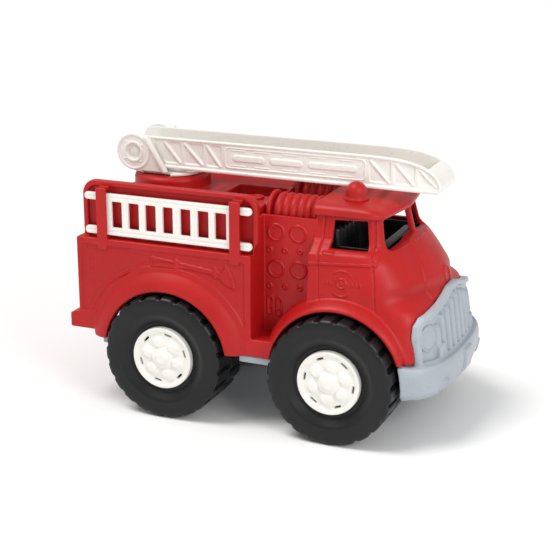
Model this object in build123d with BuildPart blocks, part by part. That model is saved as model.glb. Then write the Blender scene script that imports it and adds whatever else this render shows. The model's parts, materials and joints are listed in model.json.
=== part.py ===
from build123d import *
import os
from math import sqrt

os.makedirs("parts", exist_ok=True)

# ---------------------------------------------------------------- driving dimensions (mm)
# +X is forward, +Z is up, the origin is on the floor under the middle of the truck.
XR = -63.2          # rear axle
XF = 56.8           # front axle
R_TYRE = 43.2       # tyre radius over the lugs
ZW = R_TYRE         # axle height
R_CARC = 40.8       # tyre radius between the lugs
Y_FACE = 77.0       # outer face of the tyres
Y_INNER = 35.0      # inner face of the tyres
R_HUB = 21.6        # hub radius
R_AXLE = 3.0        # axle radius
AXLE_FIT = 0.06     # radial clearance of the axle in its saddle
N_LUGS = 22         # tread lugs in each row
LUG_W = 8.8         # width of a lug round the wheel
R_ARCH = 45.4       # wheel arch radius
WALL = 2.8          # shell thickness

X_BED0, X_BED1 = -131.8, -1.5   # bed, back and front
Y_BED = 66.0        # bed side
Z_LEDGE = 119.5     # shelf that the side ladders stand over
Y_RAILIN = 55.5     # inside of the rail wall
Y_RAILWALL = 57.5   # face of the rail wall
Y_RIM = 60.6        # face of the rail frame
Z_RAIL = 158.6      # top of the rail frame
Z_DECK = 145.5      # deck
Z_SHELF = 138.0     # shelf behind the deck
Y_PANEL = 43.0      # pump panel
X_CAB = 34.5        # back of the cab

X_TT = -90.0        # turntable axis
R_DISC = 23.6       # turntable disc
R_RING = 26.8       # ring on the deck
Z_DISC = 157.8      # top of the disc
X_PIV, Z_PIV = -110.0, 171.0    # boom pivot
R_PIN = 4.0
PIN_FIT = 0.06
Y_EAR0, Y_EAR1 = 18.0, 21.2     # ears
Y_BOOM = 17.0       # boom half width
Z_BOOM0, Z_BOOM1 = 159.9, 182.2 # boom, underside and top
X_TIP = 111.0

X_BEACON, Y_BEACON, Z_BEACON = 56.6, -25.6, 153.6
R_DOME = 7.1

SIDES = (-1, 1)     # right (-Y), left (+Y)

# Design positions run along the truck from a station between the axles. XC puts
# the origin under the middle of the finished truck.
XC = 4.1
TOP = Plane(origin=(XC, 0, 0))
SIDE = Plane(origin=(XC, 0, 0), x_dir=(1, 0, 0), z_dir=(0, -1, 0))
FRONT = Plane(origin=(XC, 0, 0), x_dir=(0, 1, 0), z_dir=(1, 0, 0))


def at(x, y, z):
    """A design position in the finished frame."""
    return (XC + x, y, z)


def both(pts):
    """A half outline (x, half width), from the back to the nose, as a closed outline."""
    right = [(x, -y) for x, y in pts]
    left = [(x, y) for x, y in reversed(pts) if y > 1e-6]
    return right + left


def inset(pts, t):
    """The half outline moved inwards by t."""
    out = []
    n = len(pts)
    for i, (x, y) in enumerate(pts):
        if i == 0:
            out.append((x + t, y - t))
            continue
        if i == n - 1:
            out.append((x - t, 0.0))
            continue
        x0, y0 = pts[i - 1]
        x1, y1 = pts[i + 1]
        dx, dy = x1 - x0, y1 - y0
        d = sqrt(dx * dx + dy * dy)
        out.append((x + dy / d * t, y - dx / d * t))
    return out


# Half outlines of the nose and lower cab, by height.
NOSE = [
    (50.0, [(X_CAB, 57), (70, 57), (85, 57.5), (96, 61), (103, 61.5), (108, 60), (111, 57), (113.5, 51), (115, 30), (115.5, 0)]),
    (75.0, [(X_CAB, 57.5), (66, 57.5), (80, 58), (90, 60), (98, 60.5), (105, 58), (109.5, 53), (112, 44), (114, 25), (114.5, 0)]),
    (90.0, [(X_CAB, 58), (62, 58), (75, 58), (86, 59), (95, 57.5), (103, 53), (108, 46), (111, 35), (113, 18), (114, 0)]),
    (97.0, [(X_CAB, 57.6), (62, 57.6), (78, 57.6), (87, 56.4), (95, 52.5), (101.5, 46), (106.5, 36), (109.5, 25), (111.7, 12), (112.6, 0)]),
    (105.0, [(X_CAB, 56.3), (62, 56.3), (78, 56.3), (86, 53.8), (92.5, 49), (98.5, 41.5), (103.5, 31), (107, 20), (109.3, 10), (110.2, 0)]),
    (113.0, [(X_CAB, 54.9), (62, 54.9), (77, 54.9), (84, 52), (90, 46.8), (95, 39), (99.5, 29), (102.6, 19), (104.6, 9.5), (105.4, 0)]),
    (119.0, [(X_CAB, 53.8), (62, 53.8), (76, 53.8), (82, 51), (87, 45.8), (91, 38), (94.5, 28.5), (97.2, 19), (99, 9.5), (99.8, 0)]),
    (123.0, [(X_CAB, 52.2), (62, 52.2), (75, 52.2), (80.5, 49), (85, 43.5), (88.5, 36), (91.5, 27), (93.8, 18), (95.4, 9), (96.0, 0)]),
    (129.0, [(X_CAB, 44.2), (62, 44.2), (72.5, 44.2), (77.5, 41.5), (80.5, 37.5), (83, 31), (85.4, 23.5), (87.4, 16), (89, 8), (90.0, 0)]),
]
# Half outlines of the glasshouse and the roof, with a shallow V in front.
GLASS = [
    (120.0, [(X_CAB, 46.4), (75, 46.4), (80.5, 43.6), (83.4, 39.3), (87.3, 19.5), (91.2, 0)]),
    (146.6, [(X_CAB, 40.2), (70, 40.2), (74.6, 37.6), (77.2, 33.8), (80.8, 17), (84.4, 0)]),
]
ROOF = [
    (146.4, [(X_CAB - 0.6, 44.6), (71, 44.6), (78, 41.5), (81, 36.5), (84.2, 18), (87.0, 0)]),
    (149.0, [(X_CAB - 0.6, 44.6), (71, 44.6), (78, 41.5), (81, 36.5), (84.0, 18), (86.6, 0)]),
    (152.0, [(X_CAB - 0.6, 42.0), (68, 42.0), (74, 39), (76.8, 34), (79.4, 17), (81.4, 0)]),
    (153.9, [(X_CAB, 36.0), (62, 36.0), (67, 33), (69.5, 28.5), (71.6, 14), (73.2, 0)]),
    (154.9, [(X_CAB + 1.2, 24.0), (52, 24.0), (56, 22), (58, 18.5), (60, 9), (61.0, 0)]),
]

# Grille plate: half outline in plan at its foot, its lean, and its shield outline.
GRILLE = [(111.8, 56.0), (115.0, 51.5), (119.0, 44.0), (122.0, 33.0), (123.6, 18.0), (124.2, 0.0)]
SHIELD = [(56.2, 50), (56.2, 74), (54.2, 82), (49.5, 87), (43, 89.2), (30, 91.2), (17, 94.6), (9, 97.2), (0, 98.0)]
SHIELD_IN = [(53.0, 50), (53.0, 74), (51, 80.4), (47.4, 84), (42, 85.8), (29, 87.8), (16, 91.2), (8.5, 93.8), (0, 94.6)]


def lean(z):
    return (z - 57.4) * 0.145


def curved_wall(z, front, back):
    """Plan of a wall that follows the grille, from front to back of its face."""
    pts = [(x - lean(z), y) for x, y in GRILLE]
    return ([(x + front, -y) for x, y in pts] + [(x + front, y) for x, y in reversed(pts[:-1])]
            + [(x + back, y) for x, y in pts[:-1]] + [(x + back, -y) for x, y in reversed(pts)])


def shield(pts, grow=0.0):
    half = [(y + (grow if y else 0.0), z + grow) for y, z in pts]
    return [(-y, z) for y, z in half] + [(y, z) for y, z in reversed(half[:-1])]


# ---------------------------------------------------------------- body shell
# Cab: nose, glasshouse and roof, each lofted through its outlines.
with BuildPart() as cab_skin:
    for table in (NOSE, GLASS, ROOF):
        for z, pts in table:
            with BuildSketch(TOP.offset(z)):
                with BuildLine():
                    Polyline(*both(pts), close=True)
                make_face()
        loft(ruled=True)

# The same, inset by the wall, to hollow it.
with BuildPart() as cab_hollow:
    for table in (NOSE, GLASS, ROOF[:4]):
        for i, (z, pts) in enumerate(table):
            if table is NOSE:
                z = 40.0 if i == 0 else z - (WALL if i == len(table) - 1 else 1.6)
            elif table is not GLASS:
                z = z - WALL
            with BuildSketch(TOP.offset(z)):
                with BuildLine():
                    Polyline(*both(inset(pts, WALL)), close=True)
                make_face()
        loft(ruled=True)

# Room for the grille plate in the front of the nose.
with BuildPart() as grille_seat:
    for z in (54.0, 100.0):
        with BuildSketch(TOP.offset(z)):
            with BuildLine():
                Polyline(*curved_wall(z, 20.0, -5.4), close=True)
            make_face()
    loft(ruled=True)
    with BuildSketch(FRONT.offset(90)):
        with BuildLine():
            Polyline(*shield(SHIELD, 0.4), close=True)
        make_face()
    extrude(amount=60, mode=Mode.INTERSECT)

# Flares round the wheel arches, right side.
with BuildPart() as rear_flare:
    with BuildSketch(FRONT.offset(XR)):
        with BuildLine():
            Polyline(*[(-y, ZW + r) for r, y in ((R_ARCH - 2, 63.2), (60, 63.2), (60, 66), (57.5, 68), (53.5, 70.2), (49.5, 71.6), (46.4, 72.0), (R_ARCH - 2, 72.0))], close=True)
        make_face()
    revolve(axis=Axis(at(XR, 0, ZW), (0, 1, 0)))
    with Locations(at(XR, 0, 50 - 60)):
        Box(160, 200, 120, mode=Mode.SUBTRACT)
    with Locations(at(XR + 54 + 30, 0, 80)):
        Box(60, 200, 100, mode=Mode.SUBTRACT)

with BuildPart() as front_flare:
    with BuildSketch(FRONT.offset(XF)):
        with BuildLine():
            Polyline(*[(-y, ZW + r) for r, y in ((R_ARCH - 2, 40.2), (52, 40.2), (52, 58), (51.2, 61.5), (49.5, 64.4), (47.6, 66.2), (46.2, 66.7), (R_ARCH - 2, 66.7))], close=True)
        make_face()
    revolve(axis=Axis(at(XF, 0, ZW), (0, 1, 0)))
    with Locations(at(XF, 0, 50 - 60)):
        Box(160, 200, 120, mode=Mode.SUBTRACT)
    with Locations(at(XF + 45 + 30, 0, 40)):
        Box(60, 200, 100, mode=Mode.SUBTRACT)

with BuildPart() as body_shell:
    add(cab_skin.part)
    add(cab_hollow.part, mode=Mode.SUBTRACT)
    # Side windows.
    with BuildSketch(SIDE):
        with BuildLine():
            Polyline((47.2, 126.2), (72.2, 126.2), (69.0, 143.0), (47.2, 143.0), close=True)
        make_face()
    extrude(amount=60, both=True, mode=Mode.SUBTRACT)
    # Windscreen, two panes with a pillar between them.
    for s in SIDES:
        with BuildSketch(FRONT.offset(70)):
            with BuildLine():
                Polyline((s * 2.2, 130.6), (s * 36.6, 126.4), (s * 32.6, 142.4), (s * 2.2, 145.4), close=True)
            make_face()
        extrude(amount=30, mode=Mode.SUBTRACT)
    # The nose is open behind the grille.
    with Locations(at(112, 0, 72)):
        Box(16, 100, 28, mode=Mode.SUBTRACT)
    add(grille_seat.part, mode=Mode.SUBTRACT)

    for s in SIDES:
        # Bed side, shelf, rail wall and rail frame.
        with Locations(at((X_BED0 + X_BED1) / 2, s * (Y_BED - WALL / 2), (Z_LEDGE + 50) / 2)):
            Box(X_BED1 - X_BED0, WALL, Z_LEDGE - 50)
        with Locations(at((X_BED0 + X_BED1) / 2, s * (Y_BED + Y_RAILIN) / 2, Z_LEDGE - WALL / 2)):
            Box(X_BED1 - X_BED0, Y_BED - Y_RAILIN, WALL)
        for y0, y1, hole in ((Y_RAILIN, Y_RAILWALL, False), (Y_RAILWALL, Y_RIM, True)):
            with BuildSketch(SIDE.offset(-s * y0)):
                with Locations(((-128.3 + 1.3) / 2, (Z_RAIL + 108) / 2)):
                    RectangleRounded(129.6, Z_RAIL - 108, 9.5)
                if hole:
                    with Locations(((-128.3 + 1.3) / 2, (Z_RAIL - 3.6 + 104) / 2)):
                        RectangleRounded(129.6 - 7.2, Z_RAIL - 3.6 - 104, 7.0, mode=Mode.SUBTRACT)
                with Locations((-63.5, 105)):
                    Rectangle(160, 2 * (Z_LEDGE - WALL / 2 - 105), mode=Mode.SUBTRACT)
            extrude(amount=-s * (y1 - y0))
        # Posts that hold the side ladder, each tied to the rail frame by a cap.
        for x0, x1 in ((-115.3, -107.8), (-16.6, -9.2)):
            with Locations(at((x0 + x1) / 2, s * (Y_BED - 1.0), (117 + 154.4) / 2)):
                Box(x1 - x0, 2.0, 154.4 - 117)
            with Locations(at((x0 + x1) / 2, s * (Y_BED + Y_RAILIN) / 2, 153.4)):
                Box(x1 - x0, Y_BED - Y_RAILIN, 2.0)
            with Locations(at((x0 + x1) / 2, s * (Y_BED + Y_RAILIN) / 2, 120.2)):
                Box(x1 - x0, Y_BED - Y_RAILIN, 2.4)
        # Front wall of the bed, pump panel and running board.
        with Locations(at(X_BED1 - WALL / 2, s * (Y_BED + 40.2) / 2, (Z_LEDGE + 50) / 2)):
            Box(WALL, Y_BED - 40.2, Z_LEDGE - 50)
        with Locations(at(X_BED1 - WALL / 2, s * (Y_RAILWALL + 40.2) / 2, (142.4 + 110) / 2)):
            Box(WALL, Y_RAILWALL - 40.2, 142.4 - 110)
        with Locations(at((X_BED1 - WALL + X_CAB + 2.5) / 2, s * (Y_PANEL - 1.4), (142.4 + 59) / 2)):
            Box(X_CAB + 2.5 - X_BED1 + WALL, 2.8, 142.4 - 59)
        with Locations(at((-12 + 40) / 2, s * (68.0 + 41) / 2, 60.6)):
            Box(52, 68.0 - 41, 2.8)
        with Locations(at((-12 + 40) / 2, s * 66.6, (50 + 62) / 2)):
            Box(52, 2.8, 12)

    # Back wall, up to a shelf behind the deck.
    with Locations(at(X_BED0 + WALL / 2, 0, (Z_LEDGE + 53) / 2)):
        Box(WALL, 2 * Y_BED, Z_LEDGE - 53)
    with Locations(at(-128.3 + WALL / 2, 0, (Z_SHELF + 115) / 2)):
        Box(WALL, 2 * Y_RAILWALL, Z_SHELF - 115)
    with Locations(at((-128.3 - 116.4) / 2, 0, Z_SHELF - WALL / 2)):
        Box(128.3 - 116.4, 2 * Y_RAILWALL, WALL)
    with Locations(at(-128.5, 0, Z_LEDGE - WALL / 2)):
        Box(6.6, 2 * Y_BED, WALL)
    # Rear step, hollow underneath.
    with BuildSketch(SIDE):
        with BuildLine():
            Polyline((-138.6, 53), (-138.6, 63.6), (-131.8, 65.6), (-114, 67.8), (-117, 53), close=True)
        make_face()
    extrude(amount=Y_BED, both=True)
    with Locations(at(-126.2, 0, 56.4)):
        Box(19, 2 * Y_BED - 5.6, 12, mode=Mode.SUBTRACT)

    for flare in (rear_flare, front_flare):
        add(flare.part)
        mirror(flare.part, about=Plane.XZ)
    # Wheel arches.
    for xw in (XR, XF):
        with BuildSketch(SIDE):
            with Locations((xw, ZW)):
                Circle(R_ARCH)
            with Locations((xw, ZW - 30)):
                Rectangle(2 * R_ARCH - 2, 60)
        extrude(amount=90, both=True, mode=Mode.SUBTRACT)
    # Trim to the underside line: high at the back, on the bumper in front.
    with BuildSketch(SIDE):
        with BuildLine():
            Polyline((-150, 0), (-150, 53), (-121, 53), (-121, 50), (95, 50), (98, 57.6), (125, 57.6), (125, 0), close=True)
        make_face()
    extrude(amount=90, both=True, mode=Mode.SUBTRACT)
    # Socket for the beacon.
    with Locations(at(X_BEACON, Y_BEACON, 150)):
        Cylinder(3.1, 30, mode=Mode.SUBTRACT)
    with Locations(at(X_BEACON, Y_BEACON, Z_BEACON + 0.3 + 5)):
        Cylinder(8.5, 10, mode=Mode.SUBTRACT)
body_shell.part.label = "body_shell"
export_step(body_shell.part, "parts/body_shell.step")

# ---------------------------------------------------------------- deck insert
X_D0, X_D1 = -118.6, -4.6
with BuildPart() as hose_reel:
    with BuildSketch(FRONT.offset(X_D1 - 1)):
        with Locations((-25.4, 141.0)):
            Circle(14.0)
    extrude(amount=2.0 - X_D1 + 1)
    with BuildSketch(FRONT.offset(1.0)):
        with Locations((-25.4, 141.0)):
            Circle(10.6)
    extrude(amount=32.4)
    for k in range(5):
        with BuildSketch(TOP.offset(141.0)):
            with Locations((5.2 + 5.5 * k, -25.4 - 10.4)):
                Circle(2.6)
        revolve(axis=Axis(at(0, -25.4, 141.0), (1, 0, 0)))

with BuildPart() as deck_insert:
    with Locations(at((X_D0 + X_D1) / 2, 0, Z_DECK - 1.4)):
        Box(X_D1 - X_D0, 2 * Y_RAILIN - 0.4, 2.8)
    # The deck's rear edge turns down to the shelf.
    with Locations(at(X_D0 + 1.2, 0, (Z_DECK - 0.6 + Z_SHELF + 0.1) / 2)):
        Box(2.4, 2 * Y_RAILIN - 0.4, Z_DECK - 0.6 - Z_SHELF - 0.1)
    # Slightly raised front deck with the bin.
    with Locations(at((-49.5 + X_D1) / 2, 0, Z_DECK + 0.6)):
        Box(X_D1 + 49.5, 2 * Y_RAILIN - 0.4, 1.4)
    with Locations(at(-24.2, 0, 134)):
        Box(42.5, 30.5, 26)
    with Locations(at(-24.2, 0, 136)):
        Box(38.5, 26.5, 26, mode=Mode.SUBTRACT)
    # Turntable ring with a bore for the stem.
    with Locations(at(X_TT, 0, (Z_DECK + 155.4) / 2)):
        Cylinder(R_RING, 155.4 - Z_DECK)
    fillet(deck_insert.edges().filter_by(GeomType.CIRCLE).group_by(Axis.Z)[-1], 3.0)
    with Locations(at(X_TT, 0, 148)):
        Cylinder(9.0 + AXLE_FIT, 30, mode=Mode.SUBTRACT)
    with Locations(at(X_TT, 0, 140.2)):
        Cylinder(R_RING - 3, 20, mode=Mode.SUBTRACT)
    # Filler cap.
    with Locations(at(-17.0, -20.5, 147.6)):
        Cylinder(5.6, 1.6)
    # Tray between the pump panels that carries the reels.
    with Locations(at((X_D1 + 33.6) / 2, 0, 125.4)):
        Box(33.6 - X_D1, 79.6, 2.8)
    with Locations(at(X_D1 - 1.4, 0, 134.8)):
        Box(2.8, 79.6, 21.4)
    add(hose_reel.part)
    mirror(hose_reel.part, about=Plane.XZ)
deck_insert.part.label = "deck_insert"
export_step(deck_insert.part, "parts/deck_insert.step")

# ---------------------------------------------------------------- chassis, bumper and grille
BUMPER = [
    (31.0, [(98.5, 57.5), (106, 58), (113, 54.5), (119, 44), (122.5, 28), (124.3, 0)]),
    (38.0, [(98.5, 63.5), (108, 63.5), (117, 58.5), (123, 47.5), (127, 28), (128.6, 0)]),
    (48.0, [(98.5, 66.4), (110, 66.2), (119.5, 61), (126, 50), (129.4, 28), (130.4, 0)]),
    (54.5, [(98.5, 66.4), (109, 66.2), (118.5, 60.8), (125, 49.6), (128.4, 28), (129.4, 0)]),
    (57.4, [(98.5, 65.4), (107, 65.2), (116, 60), (122.5, 49), (126, 28), (127.2, 0)]),
]
with BuildPart() as bumper:
    for z, pts in BUMPER:
        with BuildSketch(TOP.offset(z)):
            with BuildLine():
                Polyline(*both(pts), close=True)
            make_face()
    loft(ruled=True)
with BuildPart() as bumper_hollow:
    for i, (z, pts) in enumerate(BUMPER):
        pts = inset(pts, 3.0)
        pts[0] = (95.0, pts[0][1])
        z = z - 3.0 if i == len(BUMPER) - 1 else (z - 4 if i == 0 else z - 0.5)
        with BuildSketch(TOP.offset(z)):
            with BuildLine():
                Polyline(*both(pts), close=True)
            make_face()
    loft(ruled=True)

# Grille plate, and the recess inside its frame.
with BuildPart() as grille_plate:
    for z in (56.0, 99.0):
        with BuildSketch(TOP.offset(z)):
            with BuildLine():
                Polyline(*curved_wall(z, 0.0, -5.0), close=True)
            make_face()
    loft(ruled=True)
    with BuildSketch(FRONT.offset(90)):
        with BuildLine():
            Polyline(*shield(SHIELD), close=True)
        make_face()
    extrude(amount=50, mode=Mode.INTERSECT)
with BuildPart() as grille_recess:
    for z in (58.4, 99.0):
        with BuildSketch(TOP.offset(z)):
            with BuildLine():
                Polyline(*curved_wall(z, 8.0, -2.4), close=True)
            make_face()
    loft(ruled=True)
    with BuildSketch(FRONT.offset(90)):
        with BuildLine():
            Polyline(*shield(SHIELD_IN), close=True)
        make_face()
    extrude(amount=60, mode=Mode.INTERSECT)

with BuildPart() as chassis:
    add(bumper.part)
    add(bumper_hollow.part, mode=Mode.SUBTRACT)
    # The bumper's ends stand clear of the front tyres.
    with BuildSketch(SIDE):
        with Locations((XF, ZW)):
            Circle(R_ARCH)
    extrude(amount=90, both=True, mode=Mode.SUBTRACT)
    add(grille_plate.part)
    add(grille_recess.part, mode=Mode.SUBTRACT)
    for yb, zt in ((-28.5, 84.0), (-19.5, 87.0), (-10.2, 89.5), (0.0, 91.0), (10.2, 89.5), (19.5, 87.0), (28.5, 84.0)):
        xb = 124.2 - 0.00215 * yb * yb
        with BuildSketch(Plane(origin=at(xb - 2.0, yb, 57.0), x_dir=(0, 1, 0), z_dir=(-0.1435, 0, 0.9897))):
            Ellipse(2.9, 2.6)
        extrude(amount=zt - 57.0, taper=1.2)
    # Headlamps and fog lamps.
    for s in SIDES:
        with BuildSketch(Plane(origin=at(111.8, s * 44.3, 72.2), x_dir=(0, 0, 1), z_dir=(0.905, s * 0.39, 0.13))):
            Circle(8.8)
        extrude(amount=5.4)
        with BuildSketch(Plane(origin=at(116.0, s * 31.8, 60.2), x_dir=(0, 0, 1), z_dir=(0.985, s * 0.17, 0.0))):
            Circle(5.2)
        extrude(amount=9.2)
    # Tie between the bumper and the frame rails, and the rails themselves.
    with Locations(at(96.0, 0, 52.8)):
        Box(20, 60, 9.2)
    with Locations(at(-7, 0, 43.2)):
        Box(214, 58, 16)
    for x0, x1 in ((-110, XR - 9), (XR + 9, XF - 9), (XF + 9, 94)):
        with Locations(at((x0 + x1) / 2, 0, 40.0)):
            Box(x1 - x0, 52, 16.4, mode=Mode.SUBTRACT)
    # Side steps under the running boards.
    with Locations(at(1.2, 0, 47.4)):
        Box(24, 130, 5.0)
    with Locations(at(1.2, 0, 45.6)):
        Box(20, 126, 4.0, mode=Mode.SUBTRACT)
    with Locations(at(1.2, 0, 43.2)):
        Box(24, 58, 13.4)
    # Tail crossmember.
    with Locations(at(-111.5, 0, 49.0)):
        Box(7, 126, 4.4)
    for s in SIDES:
        with Locations(at(-112.6, s * 62, 46.4)):
            Box(4.6, 4, 6)
    # Axle saddles.
    for xw in (XR, XF):
        with BuildSketch(SIDE):
            with Locations((xw, ZW)):
                Circle(R_AXLE + AXLE_FIT)
        extrude(amount=40, both=True, mode=Mode.SUBTRACT)
chassis.part.label = "chassis"
export_step(chassis.part, "parts/chassis.step")

# ---------------------------------------------------------------- cab interior
with BuildPart() as cab_interior:
    with Locations(at(62, 0, 93.6)):
        Box(48, 78, 2.8)
    with Locations(at(45.5, 0, 116.5)):
        Box(13, 76, 43)
    with Locations(at(55, 0, 103)):
        Box(30, 76, 17)
    with Locations(at(76.6, 0, 108.5)):
        Box(6, 68, 29)
    with Locations(at(76.0, 0, 124.0)):
        Box(8, 62, 2.4)
    fillet(cab_interior.edges().filter_by(Axis.Y).group_by(Axis.Z)[-1], 4.0)
cab_interior.part.label = "cab_interior"
export_step(cab_interior.part, "parts/cab_interior.step")

# ---------------------------------------------------------------- beacon
with BuildPart() as beacon:
    with BuildSketch(SIDE.offset(-Y_BEACON)):
        with BuildLine():
            l1 = Polyline((X_BEACON, Z_BEACON - 6), (X_BEACON + 2.9, Z_BEACON - 6), (X_BEACON + 2.9, Z_BEACON + 0.4),
                          (X_BEACON + 8.2, Z_BEACON + 0.4), (X_BEACON + 8.2, Z_BEACON + 1.8), (X_BEACON + R_DOME, Z_BEACON + 2.9),
                          (X_BEACON + R_DOME, Z_BEACON + 5.6))
            RadiusArc(l1 @ 1, (X_BEACON, Z_BEACON + 5.6 + R_DOME), -R_DOME)
            Line((X_BEACON, Z_BEACON + 5.6 + R_DOME), l1 @ 0)
        make_face()
    revolve(axis=Axis(at(X_BEACON, Y_BEACON, 0), (0, 0, 1)))
beacon.part.label = "beacon"
export_step(beacon.part, "parts/beacon.step")

# ---------------------------------------------------------------- wheels and axles
for tag, xw in (("front", XF), ("rear", XR)):
    with BuildPart() as axle:
        with BuildSketch(SIDE):
            with Locations((xw, ZW)):
                Circle(R_AXLE)
        extrude(amount=70, both=True)
    axle.part.label = tag + "_axle"
    export_step(axle.part, "parts/" + tag + "_axle.step")
    for side, s in (("right", -1), ("left", 1)):
        wheel = Plane(origin=at(xw, 0, ZW), x_dir=(-s, 0, 0), z_dir=(0, s, 0))
        with BuildPart() as tyre:
            with BuildSketch(FRONT.offset(xw)):
                with BuildLine():
                    Polyline(*[(s * y, ZW + r) for r, y in (
                        (R_HUB, 36.0), (38.0, 35.0), (40.0, 35.6), (R_CARC, 37.0), (R_CARC, 75.0), (40.6, 76.2), (39.4, 77.0), (31.5, 77.0),
                        (30.2, 76.6), (24.2, 73.2), (R_HUB, 73.2))], close=True)
                make_face()
            revolve(axis=Axis(at(xw, 0, ZW), (0, 1, 0)))
            for lo, hi, off in ((36.2, 55.6, 180.0 / N_LUGS), (56.4, 76.0, 0.0)):
                with BuildSketch(wheel.offset(lo)):
                    with PolarLocations(R_TYRE - 2, N_LUGS, start_angle=90 + off):
                        Rectangle(7, LUG_W)
                    Circle(R_TYRE, mode=Mode.INTERSECT)
                    Circle(R_CARC - 1, mode=Mode.SUBTRACT)
                extrude(amount=hi - lo)
            # Hollow, open on the inner side.
            with BuildSketch(wheel.offset(34)):
                Circle(36.8)
                Circle(24.6, mode=Mode.SUBTRACT)
            extrude(amount=37.5, mode=Mode.SUBTRACT)
        name = "tyre_" + tag + "_" + side
        tyre.part.label = name
        export_step(tyre.part, "parts/" + name + ".step")

        with BuildPart() as hub:
            with BuildSketch(FRONT.offset(xw)):
                with BuildLine():
                    Polyline(*[(s * y, ZW + r) for r, y in (
                        (R_AXLE, 40.0), (8.0, 40.0), (9.5, 66.0), (18.6, 70.2), (19.4, 40.0), (R_HUB, 40.0), (R_HUB, 75.4), (21.2, 75.9), (19.8, 76.0),
                        (18.0, 74.9), (13.0, 74.6), (8.6, 75.2), (7.8, 75.8), (5.4, 77.0), (2.8, 77.7), (0.0, 78.0), (0.0, 70.4), (R_AXLE, 70.4))], close=True)
                make_face()
            revolve(axis=Axis(at(xw, 0, ZW), (0, 1, 0)))
            with BuildSketch(wheel.offset(60)):
                with PolarLocations(16.6, 6, start_angle=30):
                    SlotOverall(5.4, 1.5, rotation=90)
            extrude(amount=20, mode=Mode.SUBTRACT)
            with BuildSketch(wheel.offset(73)):
                with PolarLocations(12.4, 5, start_angle=90):
                    Circle(3.3)
            extrude(amount=3.2, taper=12)
        name = "hub_" + tag + "_" + side
        hub.part.label = name
        export_step(hub.part, "parts/" + name + ".step")

# ---------------------------------------------------------------- turntable, clip and pin
with BuildPart() as turntable:
    with Locations(at(X_TT, 0, (Z_DISC + 155.7) / 2)):
        Cylinder(R_DISC, Z_DISC - 155.7)
    with Locations(at(X_TT, 0, (155.7 + 146) / 2)):
        Cylinder(9.0, 155.7 - 146)
    with Locations(at(X_TT, 0, 144.0)):
        Cylinder(6.0, 40, mode=Mode.SUBTRACT)
    with Locations(at(X_TT, 0, 156.9)):
        Cylinder(9.0, 1.8)
    for s in SIDES:
        with BuildSketch(SIDE.offset(-s * Y_EAR0)):
            with BuildLine():
                Polyline((X_PIV - 6, Z_PIV - 11.4), (X_PIV + 2, Z_PIV - 14.2), (-83.0, Z_DISC - 1.0), (-84.4, Z_DISC + 1.6), (-97.4, 181.8), (-100.5, 182.4), (X_PIV, Z_PIV + 12.6), close=True)
            make_face()
            with Locations((X_PIV, Z_PIV)):
                Circle(13.0)
            with Locations((X_PIV, Z_PIV)):
                Circle(R_PIN, mode=Mode.SUBTRACT)
        extrude(amount=-s * (Y_EAR1 - Y_EAR0))
        # Proud rib along the front edge of the ear.
        with BuildSketch(SIDE.offset(-s * Y_EAR1)):
            with BuildLine():
                Polyline((-88.0, Z_DISC - 0.6), (-83.4, Z_DISC - 0.6), (-97.4, 181.8), (-100.8, 182.2), close=True)
            make_face()
        extrude(amount=-s * 1.6)
    with Locations(at(X_TT, 0, Z_DISC + 4.0 + 25)):
        Box(70, 2 * Y_EAR0, 58, mode=Mode.SUBTRACT)
turntable.part.label = "turntable"
export_step(turntable.part, "parts/turntable.step")

with BuildPart() as turntable_clip:
    with Locations(at(X_TT, 0, 148.3)):
        Cylinder(12.0, 2.6)
    with Locations(at(X_TT, 0, 148.3)):
        Cylinder(9.0, 6, mode=Mode.SUBTRACT)
turntable_clip.part.label = "turntable_clip"
export_step(turntable_clip.part, "parts/turntable_clip.step")

with BuildPart() as boom_pin:
    with BuildSketch(SIDE):
        with Locations((X_PIV, Z_PIV)):
            Circle(R_PIN)
    extrude(amount=Y_EAR1 - 0.8, both=True)
boom_pin.part.label = "boom_pin"
export_step(boom_pin.part, "parts/boom_pin.step")

# ---------------------------------------------------------------- ladder boom
R_END = Z_BOOM1 - Z_PIV
BOOM = [(X_PIV, Z_BOOM0), (107.0, Z_BOOM0), (110.0, 161.6), (X_TIP, 164.6), (109.6, 168.6), (106.0, 172.6), (100.0, 176.4), (92.0, 179.4), (82.0, 181.4), (70.0, Z_BOOM1), (X_PIV, Z_BOOM1)]
with BuildPart() as ladder_boom:
    with BuildSketch(SIDE):
        with BuildLine():
            Polyline(*BOOM, close=True)
        make_face()
        with Locations((X_PIV, Z_PIV)):
            Circle(11.1)
    extrude(amount=Y_BOOM, both=True)
    # Open channel, closed at the tip.
    with BuildSketch(SIDE):
        with BuildLine():
            Polyline((-140, Z_BOOM0 + 2.2), (106.4, Z_BOOM0 + 2.2), (108.2, 164.6), (106.6, 168.6), (104, 171.0), (112, 190), (-140, 190), close=True)
        make_face()
    extrude(amount=Y_BOOM - 2.2, both=True, mode=Mode.SUBTRACT)
    with Locations(at(X_PIV - 4, 0, Z_BOOM0)):
        Box(24, 2 * Y_BOOM - 4.4, 8, mode=Mode.SUBTRACT)
    # Rungs are left between slots in the floor of the channel.
    with Locations(*[at(-84 + 12.0 * k, 0, Z_BOOM0) for k in range(15)]):
        Box(8.0, 22, 8, mode=Mode.SUBTRACT)
    with BuildSketch(SIDE):
        with Locations((X_PIV, Z_PIV)):
            Circle(R_PIN + PIN_FIT)
    extrude(amount=40, both=True, mode=Mode.SUBTRACT)
ladder_boom.part.label = "ladder_boom"
export_step(ladder_boom.part, "parts/ladder_boom.step")

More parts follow.
